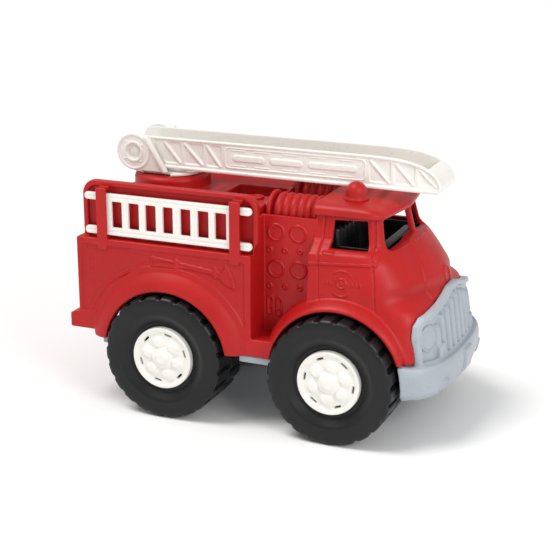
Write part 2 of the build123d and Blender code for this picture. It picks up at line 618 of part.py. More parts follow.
# ---------------------------------------------------------------- side ladders
WINDOWS = ((-104.9, -97.1), (-92.2, -84.2), (-79.5, -71.5), (-66.4, -58.8), (-53.4, -45.8), (-40.7, -32.6), (-28.0, -19.8))
for side, s in (("right", -1), ("left", 1)):
    with BuildPart() as side_ladder:
        with BuildSketch(SIDE.offset(-s * 61.0)):
            for z0, z1 in ((121.8, 127.5), (145.6, 151.0)):
                with Locations(((-125.6 - 1.6) / 2, (z0 + z1) / 2)):
                    SlotOverall(124.0, z1 - z0)
            with Locations(((-109.2 - 15.4) / 2, 136.5)):
                Rectangle(93.8, 20)
            for x0, x1 in WINDOWS:
                with Locations(((x0 + x1) / 2, (127.5 + 145.6) / 2)):
                    Rectangle(x1 - x0, 145.6 - 127.5, mode=Mode.SUBTRACT)
        extrude(amount=-s * 2.7)
    name = "side_ladder_" + side
    side_ladder.part.label = name
    export_step(side_ladder.part, "parts/" + name + ".step")
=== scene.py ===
import bpy
import json
import math
import numpy as np
from mathutils import Vector, Matrix


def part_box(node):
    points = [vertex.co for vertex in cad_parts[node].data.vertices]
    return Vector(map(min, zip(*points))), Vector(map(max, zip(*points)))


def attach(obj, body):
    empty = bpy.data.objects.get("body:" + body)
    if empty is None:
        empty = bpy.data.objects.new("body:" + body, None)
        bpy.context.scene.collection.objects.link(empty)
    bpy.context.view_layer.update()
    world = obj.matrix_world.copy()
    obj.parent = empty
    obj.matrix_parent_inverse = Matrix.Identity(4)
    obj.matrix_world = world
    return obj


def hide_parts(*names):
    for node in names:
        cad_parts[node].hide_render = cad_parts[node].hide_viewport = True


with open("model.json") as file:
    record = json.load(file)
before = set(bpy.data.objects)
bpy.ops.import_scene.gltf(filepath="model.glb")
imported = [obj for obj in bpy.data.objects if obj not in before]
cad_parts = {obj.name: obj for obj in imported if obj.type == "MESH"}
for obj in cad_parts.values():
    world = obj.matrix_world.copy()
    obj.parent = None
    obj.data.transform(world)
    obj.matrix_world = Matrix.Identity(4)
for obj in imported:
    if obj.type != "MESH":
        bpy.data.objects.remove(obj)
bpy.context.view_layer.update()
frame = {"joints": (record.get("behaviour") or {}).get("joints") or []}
F = np.float32

# Positions along the truck are design positions in mm; XC puts them in the row frame.
JOINT = {j["name"]: j for j in frame["joints"]}
XC = JOINT["front_axle_spin"]["pos_m"][0] * 1000.0 - 56.8
XF, XR = 56.8, JOINT["rear_axle_spin"]["pos_m"][0] * 1000.0 - XC
ZW = JOINT["front_axle_spin"]["pos_m"][2] * 1000.0
XT = JOINT["turntable_swivel"]["pos_m"][0] * 1000.0 - XC
XP = JOINT["boom_lift"]["pos_m"][0] * 1000.0 - XC
ZP = JOINT["boom_lift"]["pos_m"][2] * 1000.0
SIDES = ((-1, "right"), (1, "left"))


# ------------------------------------------------------------------ distance fields
def poly(u, v, pts):
    """Signed distance to a closed polygon."""
    shape = np.broadcast(u, v).shape
    d = np.full(shape, 1e9, F)
    inside = np.zeros(shape, bool)
    for i in range(len(pts)):
        (x0, y0), (x1, y1) = pts[i - 1], pts[i]
        ex, ey = x1 - x0, y1 - y0
        wx, wy = u - x0, v - y0
        t = np.clip((wx * ex + wy * ey) / (ex * ex + ey * ey + 1e-9), 0, 1)
        d = np.minimum(d, (wx - ex * t) ** 2 + (wy - ey * t) ** 2)
        if y0 != y1:
            inside ^= ((y0 > v) != (y1 > v)) & (wx < ex * wy / ey)
    d = np.sqrt(d)
    return np.where(inside, -d, d).astype(F)


def line(u, v, pts, close=False):
    """Distance to a polyline."""
    d = np.full(np.broadcast(u, v).shape, 1e9, F)
    n = len(pts)
    for i in range(0 if close else 1, n):
        (x0, y0), (x1, y1) = pts[i - 1], pts[i]
        ex, ey = x1 - x0, y1 - y0
        wx, wy = u - x0, v - y0
        t = np.clip((wx * ex + wy * ey) / (ex * ex + ey * ey + 1e-9), 0, 1)
        d = np.minimum(d, (wx - ex * t) ** 2 + (wy - ey * t) ** 2)
    return np.sqrt(d)


def rect(u, v, u0, u1, v0, v1, r=0.0):
    a = np.abs(u - (u0 + u1) / 2) - (u1 - u0) / 2 + r
    b = np.abs(v - (v0 + v1) / 2) - (v1 - v0) / 2 + r
    return np.sqrt(np.maximum(a, 0) ** 2 + np.maximum(b, 0) ** 2) + np.minimum(np.maximum(a, b), 0) - r


def circ(u, v, cu, cv, r):
    return np.sqrt((u - cu) ** 2 + (v - cv) ** 2) - r


def ext(d2, w, lo, hi, r=0.0):
    """A profile d2 extruded from lo to hi, with its edges rounded by r."""
    dw = np.abs(w - (lo + hi) / 2) - (hi - lo) / 2
    if r == 0:
        return np.maximum(d2, dw)
    a, b = d2 + r, dw + r
    return np.sqrt(np.maximum(a, 0) ** 2 + np.maximum(b, 0) ** 2) + np.minimum(np.maximum(a, b), 0) - r


def box(x, y, z, lo, hi, r=0.0):
    return ext(rect(x, y, lo[0], hi[0], lo[1], hi[1], r), z, lo[2], hi[2], r)


def smin(a, b, k):
    if k <= 0:
        return np.minimum(a, b)
    h = np.clip(0.5 + 0.5 * (b - a) / k, 0, 1)
    return b + (a - b) * h - k * h * (1 - h)


def smax(a, b, k):
    return -smin(-a, -b, k)


def ramp(d, w):
    """1 inside a shape, 0 outside, over a slope of width w."""
    t = np.clip(0.5 - d / w, 0, 1)
    return t * t * (3 - 2 * t)


class Vol:
    """A block of signed distances; half=True keeps y as the distance from the middle plane."""

    def __init__(s, lo, hi, h, half=False):
        s.h, s.half, s.ax = h, half, []
        for k in range(3):
            if half and k == 1:
                s.ax.append(((np.arange(int(math.ceil(hi[1] / h)) + 3) + 0.5) * h).astype(F))
            else:
                s.ax.append((lo[k] - 2 * h + np.arange(int(math.ceil((hi[k] - lo[k]) / h)) + 5) * h).astype(F))
        s.v = np.full([len(a) for a in s.ax], 9.0, F)

    def at(s, sl=(slice(None),) * 3):
        return s.ax[0][sl[0]][:, None, None], s.ax[1][sl[1]][None, :, None], s.ax[2][sl[2]][None, None, :]

    def do(s, op, fn, lo, hi, k=0.0):
        sl = []
        for a, l, h in zip(s.ax, lo, hi):
            i = max(int(np.searchsorted(a, l - k - 3 * s.h)), 0)
            j = min(int(np.searchsorted(a, h + k + 3 * s.h)) + 1, len(a))
            sl.append(slice(i, j))
        sl = tuple(sl)
        if s.v[sl].size == 0:
            return
        d = np.broadcast_to(fn(*s.at(sl)), s.v[sl].shape)
        c = s.v[sl]
        s.v[sl] = smin(c, d, k) if op == "add" else smax(c, -d if op == "cut" else d, k)

    def add(s, fn, lo, hi, k=0.0):
        s.do("add", fn, lo, hi, k)

    def cut(s, fn, lo, hi, k=0.0):
        s.do("cut", fn, lo, hi, k)

    def keep(s, fn, k=0.0):
        d = fn(*s.at())
        s.v = smax(s.v, d, k).astype(F)


def surface(vol):
    """Surface nets: vertices, quads and normals of the zero level."""
    v, h = vol.v, vol.h
    ax = [a.astype(float) for a in vol.ax]
    if vol.half:
        v = np.concatenate([v[:, ::-1, :], v], 1)
        ax[1] = np.concatenate([-ax[1][::-1], ax[1]])
    # close the block
    for k in range(3):
        sl = [slice(None)] * 3
        for e in (0, -1):
            sl[k] = e
            v[tuple(sl)] = np.maximum(v[tuple(sl)], 0.5 * h)
    neg = v < 0
    cnt = np.zeros([n - 1 for n in v.shape], np.int8)
    corners = [(i, j, k) for i in (0, 1) for j in (0, 1) for k in (0, 1)]
    for c in corners:
        cnt += neg[tuple(slice(o, o + n) for o, n in zip(c, cnt.shape))]
    act = (cnt > 0) & (cnt < 8)
    ijk = np.argwhere(act)
    index = np.full(cnt.shape, -1, np.int32)
    index[act] = np.arange(len(ijk))
    cv = {c: v[ijk[:, 0] + c[0], ijk[:, 1] + c[1], ijk[:, 2] + c[2]].astype(float) for c in corners}
    acc = np.zeros((len(ijk), 3))
    num = np.zeros(len(ijk))
    for a in corners:
        for k in range(3):
            if a[k]:
                continue
            b = tuple(1 if m == k else a[m] for m in range(3))
            va, vb = cv[a], cv[b]
            m = (va < 0) != (vb < 0)
            t = np.where(m, va / np.where(m, va - vb, 1), 0)
            p = np.array(a, float)[None, :] * m[:, None]
            p[:, k] += t
            acc += p
            num += m
    P = acc / num[:, None] + ijk
    org = np.array([a[0] for a in ax])

    def sample(q):
        q = np.clip(q, 0, np.array(v.shape) - 1.001)
        i = q.astype(int)
        f = q - i
        r = 0
        for c in corners:
            w = np.prod([f[:, m] if c[m] else 1 - f[:, m] for m in range(3)], axis=0)
            r = r + w * v[i[:, 0] + c[0], i[:, 1] + c[1], i[:, 2] + c[2]]
        return r

    def grad(q, e=0.5):
        g = np.stack([sample(q + e * np.eye(3)[m]) - sample(q - e * np.eye(3)[m]) for m in range(3)], 1)
        return g / (2 * e * h)

    for _ in range(2):
        g = grad(P)
        n2 = np.maximum((g ** 2).sum(1), 0.2)
        step = -(sample(P) / n2)[:, None] * g / h
        P = P + np.clip(step, -0.35, 0.35)
    quads = []
    for k in range(3):
        a, b = [(1, 2), (2, 0), (0, 1)][k]
        sl0 = [slice(None)] * 3
        sl1 = [slice(None)] * 3
        sl0[k] = slice(0, v.shape[k] - 1)
        sl1[k] = slice(1, v.shape[k])
        n0, n1 = neg[tuple(sl0)], neg[tuple(sl1)]
        for flip in (False, True):
            e = np.argwhere((n0 & ~n1) if not flip else (~n0 & n1))
            e = e[(e[:, a] > 0) & (e[:, b] > 0) & (e[:, a] < v.shape[a] - 1) & (e[:, b] < v.shape[b] - 1)]
            q = []
            for da, db in ((1, 1), (0, 1), (0, 0), (1, 0)):
                c = e.copy()
                c[:, a] -= da
                c[:, b] -= db
                q.append(index[c[:, 0], c[:, 1], c[:, 2]])
            q = np.stack(q, 1)
            quads.append(q[:, ::-1] if flip else q)
    quads = np.concatenate(quads)
    return P * h + org, quads, (lambda X: grad((X - org) / h, 0.6))


def make_mesh(name, verts, faces):
    me = bpy.data.meshes.new(name)
    me.vertices.add(len(verts))
    me.vertices.foreach_set("co", np.asarray(verts, F).ravel())
    faces = np.asarray(faces, np.int32)
    me.loops.add(faces.size)
    me.polygons.add(len(faces))
    me.loops.foreach_set("vertex_index", faces.ravel())
    me.polygons.foreach_set("loop_start", np.arange(0, faces.size, faces.shape[1], dtype=np.int32))
    me.polygons.foreach_set("loop_total", np.full(len(faces), faces.shape[1], np.int32))
    me.update(calc_edges=True)
    me.validate()
    o = bpy.data.objects.new(name, me)
    bpy.context.scene.collection.objects.link(o)
    return o


def put_normals(o, grad_mm):
    """Shade with the field's own normals, so that flat faces stay flat."""
    me = o.data
    co = np.zeros(len(me.vertices) * 3, F)
    me.vertices.foreach_get("co", co)
    n = grad_mm(co.reshape(-1, 3).astype(float) * 1000.0 - [XC, 0, 0])
    n /= np.maximum(np.linalg.norm(n, axis=1), 1e-6)[:, None]
    me.polygons.foreach_set("use_smooth", np.ones(len(me.polygons), bool))
    me.normals_split_custom_set_from_vertices(n.tolist())


def mould(name, vol, material, body, keep=0.4, nodes=(), place=None):
    """Turns a field into a piece: mesh, lighter mesh, normals, material and body."""
    P, Q, g = surface(vol)
    o = make_mesh(name, (P + [XC, 0, 0]) / 1000.0, Q)
    if keep < 1:
        bpy.context.view_layer.objects.active = o
        m = o.modifiers.new("lighter", "DECIMATE")
        m.ratio = keep
        dg = bpy.context.evaluated_depsgraph_get()
        me = bpy.data.meshes.new_from_object(o.evaluated_get(dg))
        old = o.data
        o.modifiers.clear()
        o.data = me
        bpy.data.meshes.remove(old)
    put_normals(o, g)
    o.data.materials.clear()
    o.data.materials.append(material)
    print("piece", name, "faces", len(o.data.polygons))
    if place is not None:
        place(o)
    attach(o, body)
    for n in nodes:
        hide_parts(n)
    return o


# ------------------------------------------------------------------ materials
def plastic(name, colour, rough, colour2=None, mottle=0.05, bump=0.03, grain=900.0, spec=0.5, coat=0.0, sss=0.0, wave=0.0):
    m = bpy.data.materials.new(name)
    m.use_nodes = True
    nt = m.node_tree
    b = nt.nodes["Principled BSDF"]
    tc = nt.nodes.new("ShaderNodeTexCoord")
    n1 = nt.nodes.new("ShaderNodeTexNoise")
    n1.inputs["Scale"].default_value = 26.0
    n1.inputs["Detail"].default_value = 5.0
    n1.inputs["Roughness"].default_value = 0.6
    nt.links.new(tc.outputs["Object"], n1.inputs["Vector"])
    r1 = nt.nodes.new("ShaderNodeValToRGB")
    c2 = colour2 or [c * (1 - mottle * 2.2) for c in colour]
    r1.color_ramp.elements[0].position = 0.3
    r1.color_ramp.elements[0].color = (*c2, 1)
    r1.color_ramp.elements[1].position = 0.7
    r1.color_ramp.elements[1].color = (*[min(c * (1 + mottle), 1) for c in colour], 1)
    nt.links.new(n1.outputs["Fac"], r1.inputs["Fac"])
    # fine specks, as in recycled plastic
    n2 = nt.nodes.new("ShaderNodeTexNoise")
    n2.inputs["Scale"].default_value = 420.0
    n2.inputs["Detail"].default_value = 2.0
    nt.links.new(tc.outputs["Object"], n2.inputs["Vector"])
    r2 = nt.nodes.new("ShaderNodeValToRGB")
    r2.color_ramp.elements[0].position = 0.28
    r2.color_ramp.elements[0].color = (0.86, 0.86, 0.86, 1)
    r2.color_ramp.elements[1].position = 0.42
    r2.color_ramp.elements[1].color = (1, 1, 1, 1)
    nt.links.new(n2.outputs["Fac"], r2.inputs["Fac"])
    mx = nt.nodes.new("ShaderNodeMix")
    mx.data_type = "RGBA"
    mx.blend_type = "MULTIPLY"
    mx.inputs["Factor"].default_value = 0.5
    nt.links.new(r1.outputs["Color"], mx.inputs[6])
    nt.links.new(r2.outputs["Color"], mx.inputs[7])
    nt.links.new(mx.outputs[2], b.inputs["Base Color"])
    # roughness varies a little: handling marks and flow lines
    n3 = nt.nodes.new("ShaderNodeTexNoise")
    n3.inputs["Scale"].default_value = 60.0
    n3.inputs["Detail"].default_value = 6.0
    n3.inputs["Roughness"].default_value = 0.65
    nt.links.new(tc.outputs["Object"], n3.inputs["Vector"])
    mr = nt.nodes.new("ShaderNodeMapRange")
    mr.inputs["From Min"].default_value = 0.3
    mr.inputs["From Max"].default_value = 0.7
    mr.inputs["To Min"].default_value = rough - 0.05
    mr.inputs["To Max"].default_value = rough + 0.06
    nt.links.new(n3.outputs["Fac"], mr.inputs["Value"])
    nt.links.new(mr.outputs["Result"], b.inputs["Roughness"])
    # moulded grain
    n4 = nt.nodes.new("ShaderNodeTexNoise")
    n4.inputs["Scale"].default_value = grain
    n4.inputs["Detail"].default_value = 3.0
    nt.links.new(tc.outputs["Object"], n4.inputs["Vector"])
    bp = nt.nodes.new("ShaderNodeBump")
    bp.inputs["Strength"].default_value = bump * 6
    bp.inputs["Distance"].default_value = 0.00012
    nt.links.new(n4.outputs["Fac"], bp.inputs["Height"])
    nt.links.new(bp.outputs["Normal"], b.inputs["Normal"])
    b.inputs["Specular IOR Level"].default_value = spec
    if coat:
        b.inputs["Coat Weight"].default_value = coat
        b.inputs["Coat Roughness"].default_value = 0.35
    if sss:
        b.inputs["Subsurface Weight"].default_value = sss
        b.inputs["Subsurface Radius"].default_value = (0.004, 0.003, 0.002)
        b.inputs["Subsurface Scale"].default_value = 0.6
    return m


RED = plastic("red_plastic", (0.445, 0.0075, 0.0078), 0.44, colour2=(0.395, 0.0055, 0.0055), bump=0.03, spec=0.32)
WHITE = plastic("white_plastic", (0.825, 0.81, 0.765), 0.46, colour2=(0.795, 0.775, 0.725), mottle=0.02, bump=0.03, spec=0.38)
GREY = plastic("grey_plastic", (0.385, 0.425, 0.47), 0.44, colour2=(0.355, 0.392, 0.435), mottle=0.03, bump=0.03, spec=0.38)
BLACK = plastic("black_plastic", (0.0045, 0.0045, 0.005), 0.34, mottle=0.1, bump=0.04, spec=0.35)
TYRE = plastic("tyre_plastic", (0.0085, 0.009, 0.0098), 0.38, mottle=0.12, bump=0.04, grain=700.0, spec=0.30)


# ------------------------------------------------------------------ body shell
NOSE = [
    (48.0, [(34.5, 57), (70, 57), (85, 57.5), (96, 61.2), (102, 62.0), (106.5, 60.5), (110, 57), (112.6, 51), (115, 30), (115.5, 0)]),
    (62.0, [(34.5, 57.2), (68, 57.2), (83, 57.7), (93.5, 60.4), (100.5, 61.4), (106, 59.6), (109.8, 55.5), (112.4, 48), (114.6, 28), (115.2, 0)]),
    (75.0, [(34.5, 57.5), (66, 57.5), (80, 57.9), (90, 59.3), (98, 59.8), (104.5, 57.6), (109.2, 52.5), (112, 44), (114, 25), (114.6, 0)]),
    (90.0, [(34.5, 58), (62, 58), (75, 58), (86, 57.9), (95, 56.4), (102.5, 52.6), (107.8, 45.6), (111, 35), (113, 18), (113.8, 0)]),
    (97.0, [(34.5, 57.6), (62, 57.6), (77.4, 57.4), (86, 55.6), (93, 51.3), (98.8, 45), (103.6, 35.4), (107.6, 24.6), (111.2, 12), (112.6, 0)]),
    (105.0, [(34.5, 56.3), (62, 56.3), (77, 56.1), (85, 54.0), (92, 49.4), (98.3, 42), (103.4, 31.5), (107, 20.5), (109.7, 10), (110.7, 0)]),
    (113.0, [(34.5, 54.9), (62, 54.9), (76, 54.6), (83, 52.2), (89.4, 47.2), (94.8, 39.4), (99.4, 29.2), (102.8, 19), (105.2, 9.5), (106.2, 0)]),
    (119.0, [(34.5, 53.8), (62, 53.8), (75, 53.3), (81, 50.6), (86.4, 45.8), (90.8, 38.2), (94.7, 28.5), (97.6, 18.6), (99.9, 9.3), (100.8, 0)]),
    (123.0, [(34.5, 52.4), (62, 52.4), (74, 51.6), (79, 48.4), (84, 43.5), (88, 36.2), (91.6, 27), (94.4, 17.8), (96.3, 9), (97.0, 0)]),
    (127.0, [(34.5, 48.2), (62, 48.2), (72.5, 47.2), (77.0, 44.2), (81.0, 39.6), (84.3, 32.8), (87.6, 24.5), (90.2, 16.2), (92.0, 8.2), (92.6, 0)]),
    (131.0, [(34.5, 42.2), (62, 42.2), (70.5, 41.4), (74.2, 38.6), (77.6, 34.2), (80.2, 28.2), (82.6, 21), (84.4, 14), (85.8, 7), (86.2, 0)]),
]
GLASS = [
    (117.0, [(34.5, 47.1), (55, 47.1), (75.6, 47.1), (79.0, 45.8), (81.6, 43.4), (83.3, 40.0), (85.5, 30.0), (87.6, 20.0), (89.8, 10.0), (92.0, 0)]),
    (147.0, [(34.5, 40.1), (50, 40.1), (69.9, 40.1), (73.2, 39.0), (75.6, 36.8), (77.1, 33.6), (79.0, 25.5), (80.8, 17.0), (82.6, 8.5), (84.4, 0)]),
]
ROOF = [
    (146.2, [(33.9, 44.4), (50, 44.4), (70, 44.4), (76, 43.4), (79.6, 40.4), (81.4, 36.0), (82.8, 27), (84.0, 18.5), (85.2, 9), (86.2, 0)]),
    (149.2, [(33.9, 44.6), (50, 44.6), (70, 44.6), (75.8, 43.4), (79.2, 40.2), (81.0, 35.6), (82.4, 26.8), (83.6, 18.2), (84.8, 9), (85.6, 0)]),
    (151.4, [(33.9, 43.3), (50, 43.3), (67.5, 43.2), (72.8, 42.0), (76, 39.0), (77.8, 34.6), (79.2, 26), (80.2, 17.6), (81.0, 8.8), (81.4, 0)]),
    (153.0, [(34.2, 40.6), (50, 40.6), (63.5, 40.3), (68, 38.8), (71.0, 36.0), (72.8, 31.8), (74.2, 24), (75.0, 16), (75.6, 8), (75.8, 0)]),
    (154.1, [(34.8, 36.0), (48, 36.0), (57.5, 35.6), (61.5, 34.0), (64.3, 31.2), (66.0, 27.6), (67.2, 20.6), (67.8, 13.8), (68.2, 6.9), (68.4, 0)]),
    (154.9, [(36, 27.0), (44, 27.0), (50, 26.5), (53, 25.0), (55.3, 22.8), (56.6, 20.0), (57.6, 15), (58.2, 10), (58.6, 5), (58.8, 0)]),
]


SHIELD = [(-20, 40), (56.2, 40), (56.2, 74), (54.2, 82), (49.5, 87), (43, 89.2), (30, 91.2), (17, 94.6), (9, 97.2), (0, 98.0), (-9, 97.2), (-20, 94)]


def across(table, z):
    """Outline at height z, smooth through the table."""
    zs = np.array([t[0] for t in table])
    P = np.array([t[1] for t in table], float)
    z = float(np.clip(z, zs[0], zs[-1]))
    i = int(np.clip(np.searchsorted(zs, z) - 1, 0, len(zs) - 2))
    t = (z - zs[i]) / (zs[i + 1] - zs[i])
    d = (P[1:] - P[:-1]) / (zs[1:] - zs[:-1])[:, None, None]
    m = np.concatenate([d[:1], 0.5 * (d[1:] + d[:-1]), d[-1:]])
    hh = zs[i + 1] - zs[i]
    return ((2 * t ** 3 - 3 * t ** 2 + 1) * P[i] + (t ** 3 - 2 * t ** 2 + t) * hh * m[i]
            + (-2 * t ** 3 + 3 * t ** 2) * P[i + 1] + (t ** 3 - t ** 2) * hh * m[i + 1])


def rounder(p, n=4, tip=True):
    """The half outline with extra points on a smooth curve through it."""
    ext0 = 2 * p[0] - p[1]
    ext1 = np.array([p[-2][0], -p[-2][1]]) if tip else 2 * p[-1] - p[-2]
    q = np.concatenate([[ext0], p, [ext1]])
    out = []
    for i in range(1, len(q) - 2):
        for k in range(n):
            t = k / n
            a, b, c, d = q[i - 1], q[i], q[i + 1], q[i + 2]
            out.append(0.5 * ((2 * b) + (c - a) * t + (2 * a - 5 * b + 4 * c - d) * t * t + (3 * b - a - 3 * c + d) * t ** 3))
    out.append(q[-2])
    return np.array(out)


def lofted(x, y, z, table, tip=True, lo=None, hi=None):
    """Distance to a shape lofted through a table of half outlines, from lo to hi."""
    lo = table[0][0] if lo is None else lo
    hi = table[-1][0] if hi is None else hi
    zs = z.ravel()
    X, Y = x[:, :, 0], y[:, :, 0]
    out = np.zeros((X.shape[0], Y.shape[1], len(zs)), F)
    for k, zz in enumerate(zs):
        half = rounder(across(table, zz), 4, tip)
        pts = [tuple(half[0] * [1, 0] + [0, -30])] + [tuple(p) for p in half] + [(half[-1][0], -30.0)]
        out[:, :, k] = poly(X, Y, pts)
    g = np.gradient(out, zs[1] - zs[0], axis=2)
    out = out / np.sqrt(1 + np.minimum(g, 3.0) ** 2)
    return np.maximum(out, np.maximum(lo - z, z - hi))


def bed_relief(x, z):
    """Height of the relief on the bed side."""
    panel = np.maximum(rect(x, z, -128.4, -6.4, 20.0, 114.6, 2.5), -circ(x, z, XR, ZW, 62.4))
    r = -1.0 * ramp(panel, 0.8)
    door = [(-124.0, 113.0), (-91.0, 113.0), (-91.0, 100.8), (-94.2, 97.0), (-106.0, 90.2), (-124.0, 90.2)]
    dd = poly(x, z, door) - 0.8
    r = r - 1.35 * ramp(np.abs(dd) - 0.45, 0.8) + 0.10 * ramp(dd, 0.8)
    r = r - 0.8 * ramp(np.abs(rect(x, z, -121.4, -118.6, 98.6, 104.8, 0.6)) - 0.3, 0.7)
    cap = circ(x, z, -119.6, 82.3, 6.0)
    r = r - 1.35 * ramp(np.abs(cap) - 0.45, 0.8)
    # a fine line inside the panel's border
    r = r - 0.7 * ramp(np.abs(panel + 2.6) - 0.25, 0.7)
    handle = poly(x, z, [(-74.6, 104.6), (-74.6, 111.2), (-52.0, 108.9), (-34.0, 107.1), (-27.4, 106.2), (-27.4, 103.6), (-34.0, 104.2), (-50.0, 105.6), (-64.0, 105.0)]) - 0.2
    head = poly(x, z, [(-26.6, 108.4), (-25.2, 105.6), (-23.6, 104.4), (-21.6, 106.8), (-19.2, 112.0), (-17.6, 108.6), (-15.4, 103.0), (-13.2, 95.2),
                       (-17.0, 96.6), (-21.0, 98.2), (-23.6, 101.0), (-25.0, 102.4), (-26.6, 101.6)]) - 0.3
    axe = np.minimum(handle, head)
    r = r - 0.9 * ramp(np.abs(axe - 0.5) - 0.4, 0.7) + 0.9 * ramp(axe, 0.7) - 0.5 * ramp(axe + 1.3, 0.8)
    for bx0, bx1, bz0, bz1 in ((-57.3, -53.7, 102.4, 111.0), (-28.6, -25.8, 100.8, 108.8)):
        r = np.maximum(r, -0.02 * ramp(rect(x, z, bx0, bx1, bz0, bz1, 1.2), 0.8) - 1.2 * (1 - ramp(rect(x, z, bx0, bx1, bz0, bz1, 1.2), 0.8)))
    return r


def pump_relief(x, z):
    r = np.zeros(np.broadcast(x, z).shape, F)
    for cx, cz in ((7.2, 131.1), (22.9, 131.4), (7.4, 105.8), (23.2, 106.6)):
        d = circ(x, z, cx, cz, 5.5)
        r = r + 0.95 * ramp(np.abs(d) - 0.5, 0.8) + 0.35 * ramp(d, 0.8)
    for cx, cz in ((2.6, 118.8), (13.6, 119.0), (24.3, 119.3), (2.6, 93.7), (13.9, 94.2), (24.3, 94.3)):
        d = circ(x, z, cx, cz, 1.9)
        r = r + 0.95 * ramp(d, 0.8) - 1.3 * ramp(d + 1.2, 0.8)
    for cx, cz in ((2.9, 80.2), (9.4, 79.6)):
        d = rect(x, z, cx - 1.9, cx + 1.9, cz - 6.2, cz + 6.2, 1.9)
        r = r + 0.8 * ramp(np.abs(d) - 0.35, 0.7)
        r = r - 0.7 * ramp(circ(x, z, cx, cz + 3.4, 0.7), 0.6) - 0.7 * ramp(circ(x, z, cx, cz - 3.4, 0.7), 0.6)
    return r


def cab_relief(x, z):
    """Belt, door seams and a plain badge on the side of the cab."""
    top = 120.0 + (x - 34.5) * 0.056
    low = 114.9 + (x - 34.5) * 0.066
    r = 0.75 * ramp(low - z, 0.8) * ramp(z - (top + 3.0), 2.5) * ramp(x - 80.5, 1.5)
    r = r - 0.6 * ramp(np.abs(z - low) - 0.35, 0.8) * ramp(x - 80.0, 2.0)
    r = r - 0.6 * ramp(np.abs(z - low - 2.6) - 0.3, 0.8) * ramp(x - 80.0, 2.0)
    front = line(x, z, [(74.2, 147.0), (77.2, 122.4), (80.0, 105.0), (81.4, 91.0), (81.0, 84.0)])
    rear = line(x, z, [(40.6, 147.0), (40.6, 122.6), (41.6, 108.0), (43.0, 93.0), (43.4, 84.0)])
    r = r - 0.95 * ramp(np.minimum(front, rear) - 0.4, 0.8)
    # plain badge: a shield-like ring of arcs round a boss
    b = circ(x, z, 58.1, 105.4, 0.0)
    r = r + 0.85 * ramp(np.abs(b - 3.0) - 0.45, 0.8) + 0.6 * ramp(b - 1.4, 0.8)
    ang = np.arctan2(z - 105.4, x - 58.1)
    up = ramp(np.abs(ang - math.pi / 2) - 0.85, 0.15)
    dn = ramp(np.abs(ang + math.pi / 2) - 0.75, 0.15)
    r = r + 0.85 * ramp(np.abs(b - 8.2) - 0.4, 0.8) * np.maximum(up, dn)
    for s in (-1, 1):
        for k in (0, 1, 2):
            r = r + 0.7 * ramp(rect(x, z, 58.1 + s * (7.6 + 2.6 * k) - 0.55, 58.1 + s * (7.6 + 2.6 * k) + 0.55, 104.1, 106.7, 0.4), 0.7)
    # door pull
    r = r + 0.9 * ramp(rect(x, z, 43.6, 51.4, 122.9, 124.7, 0.7), 0.8)
    return r


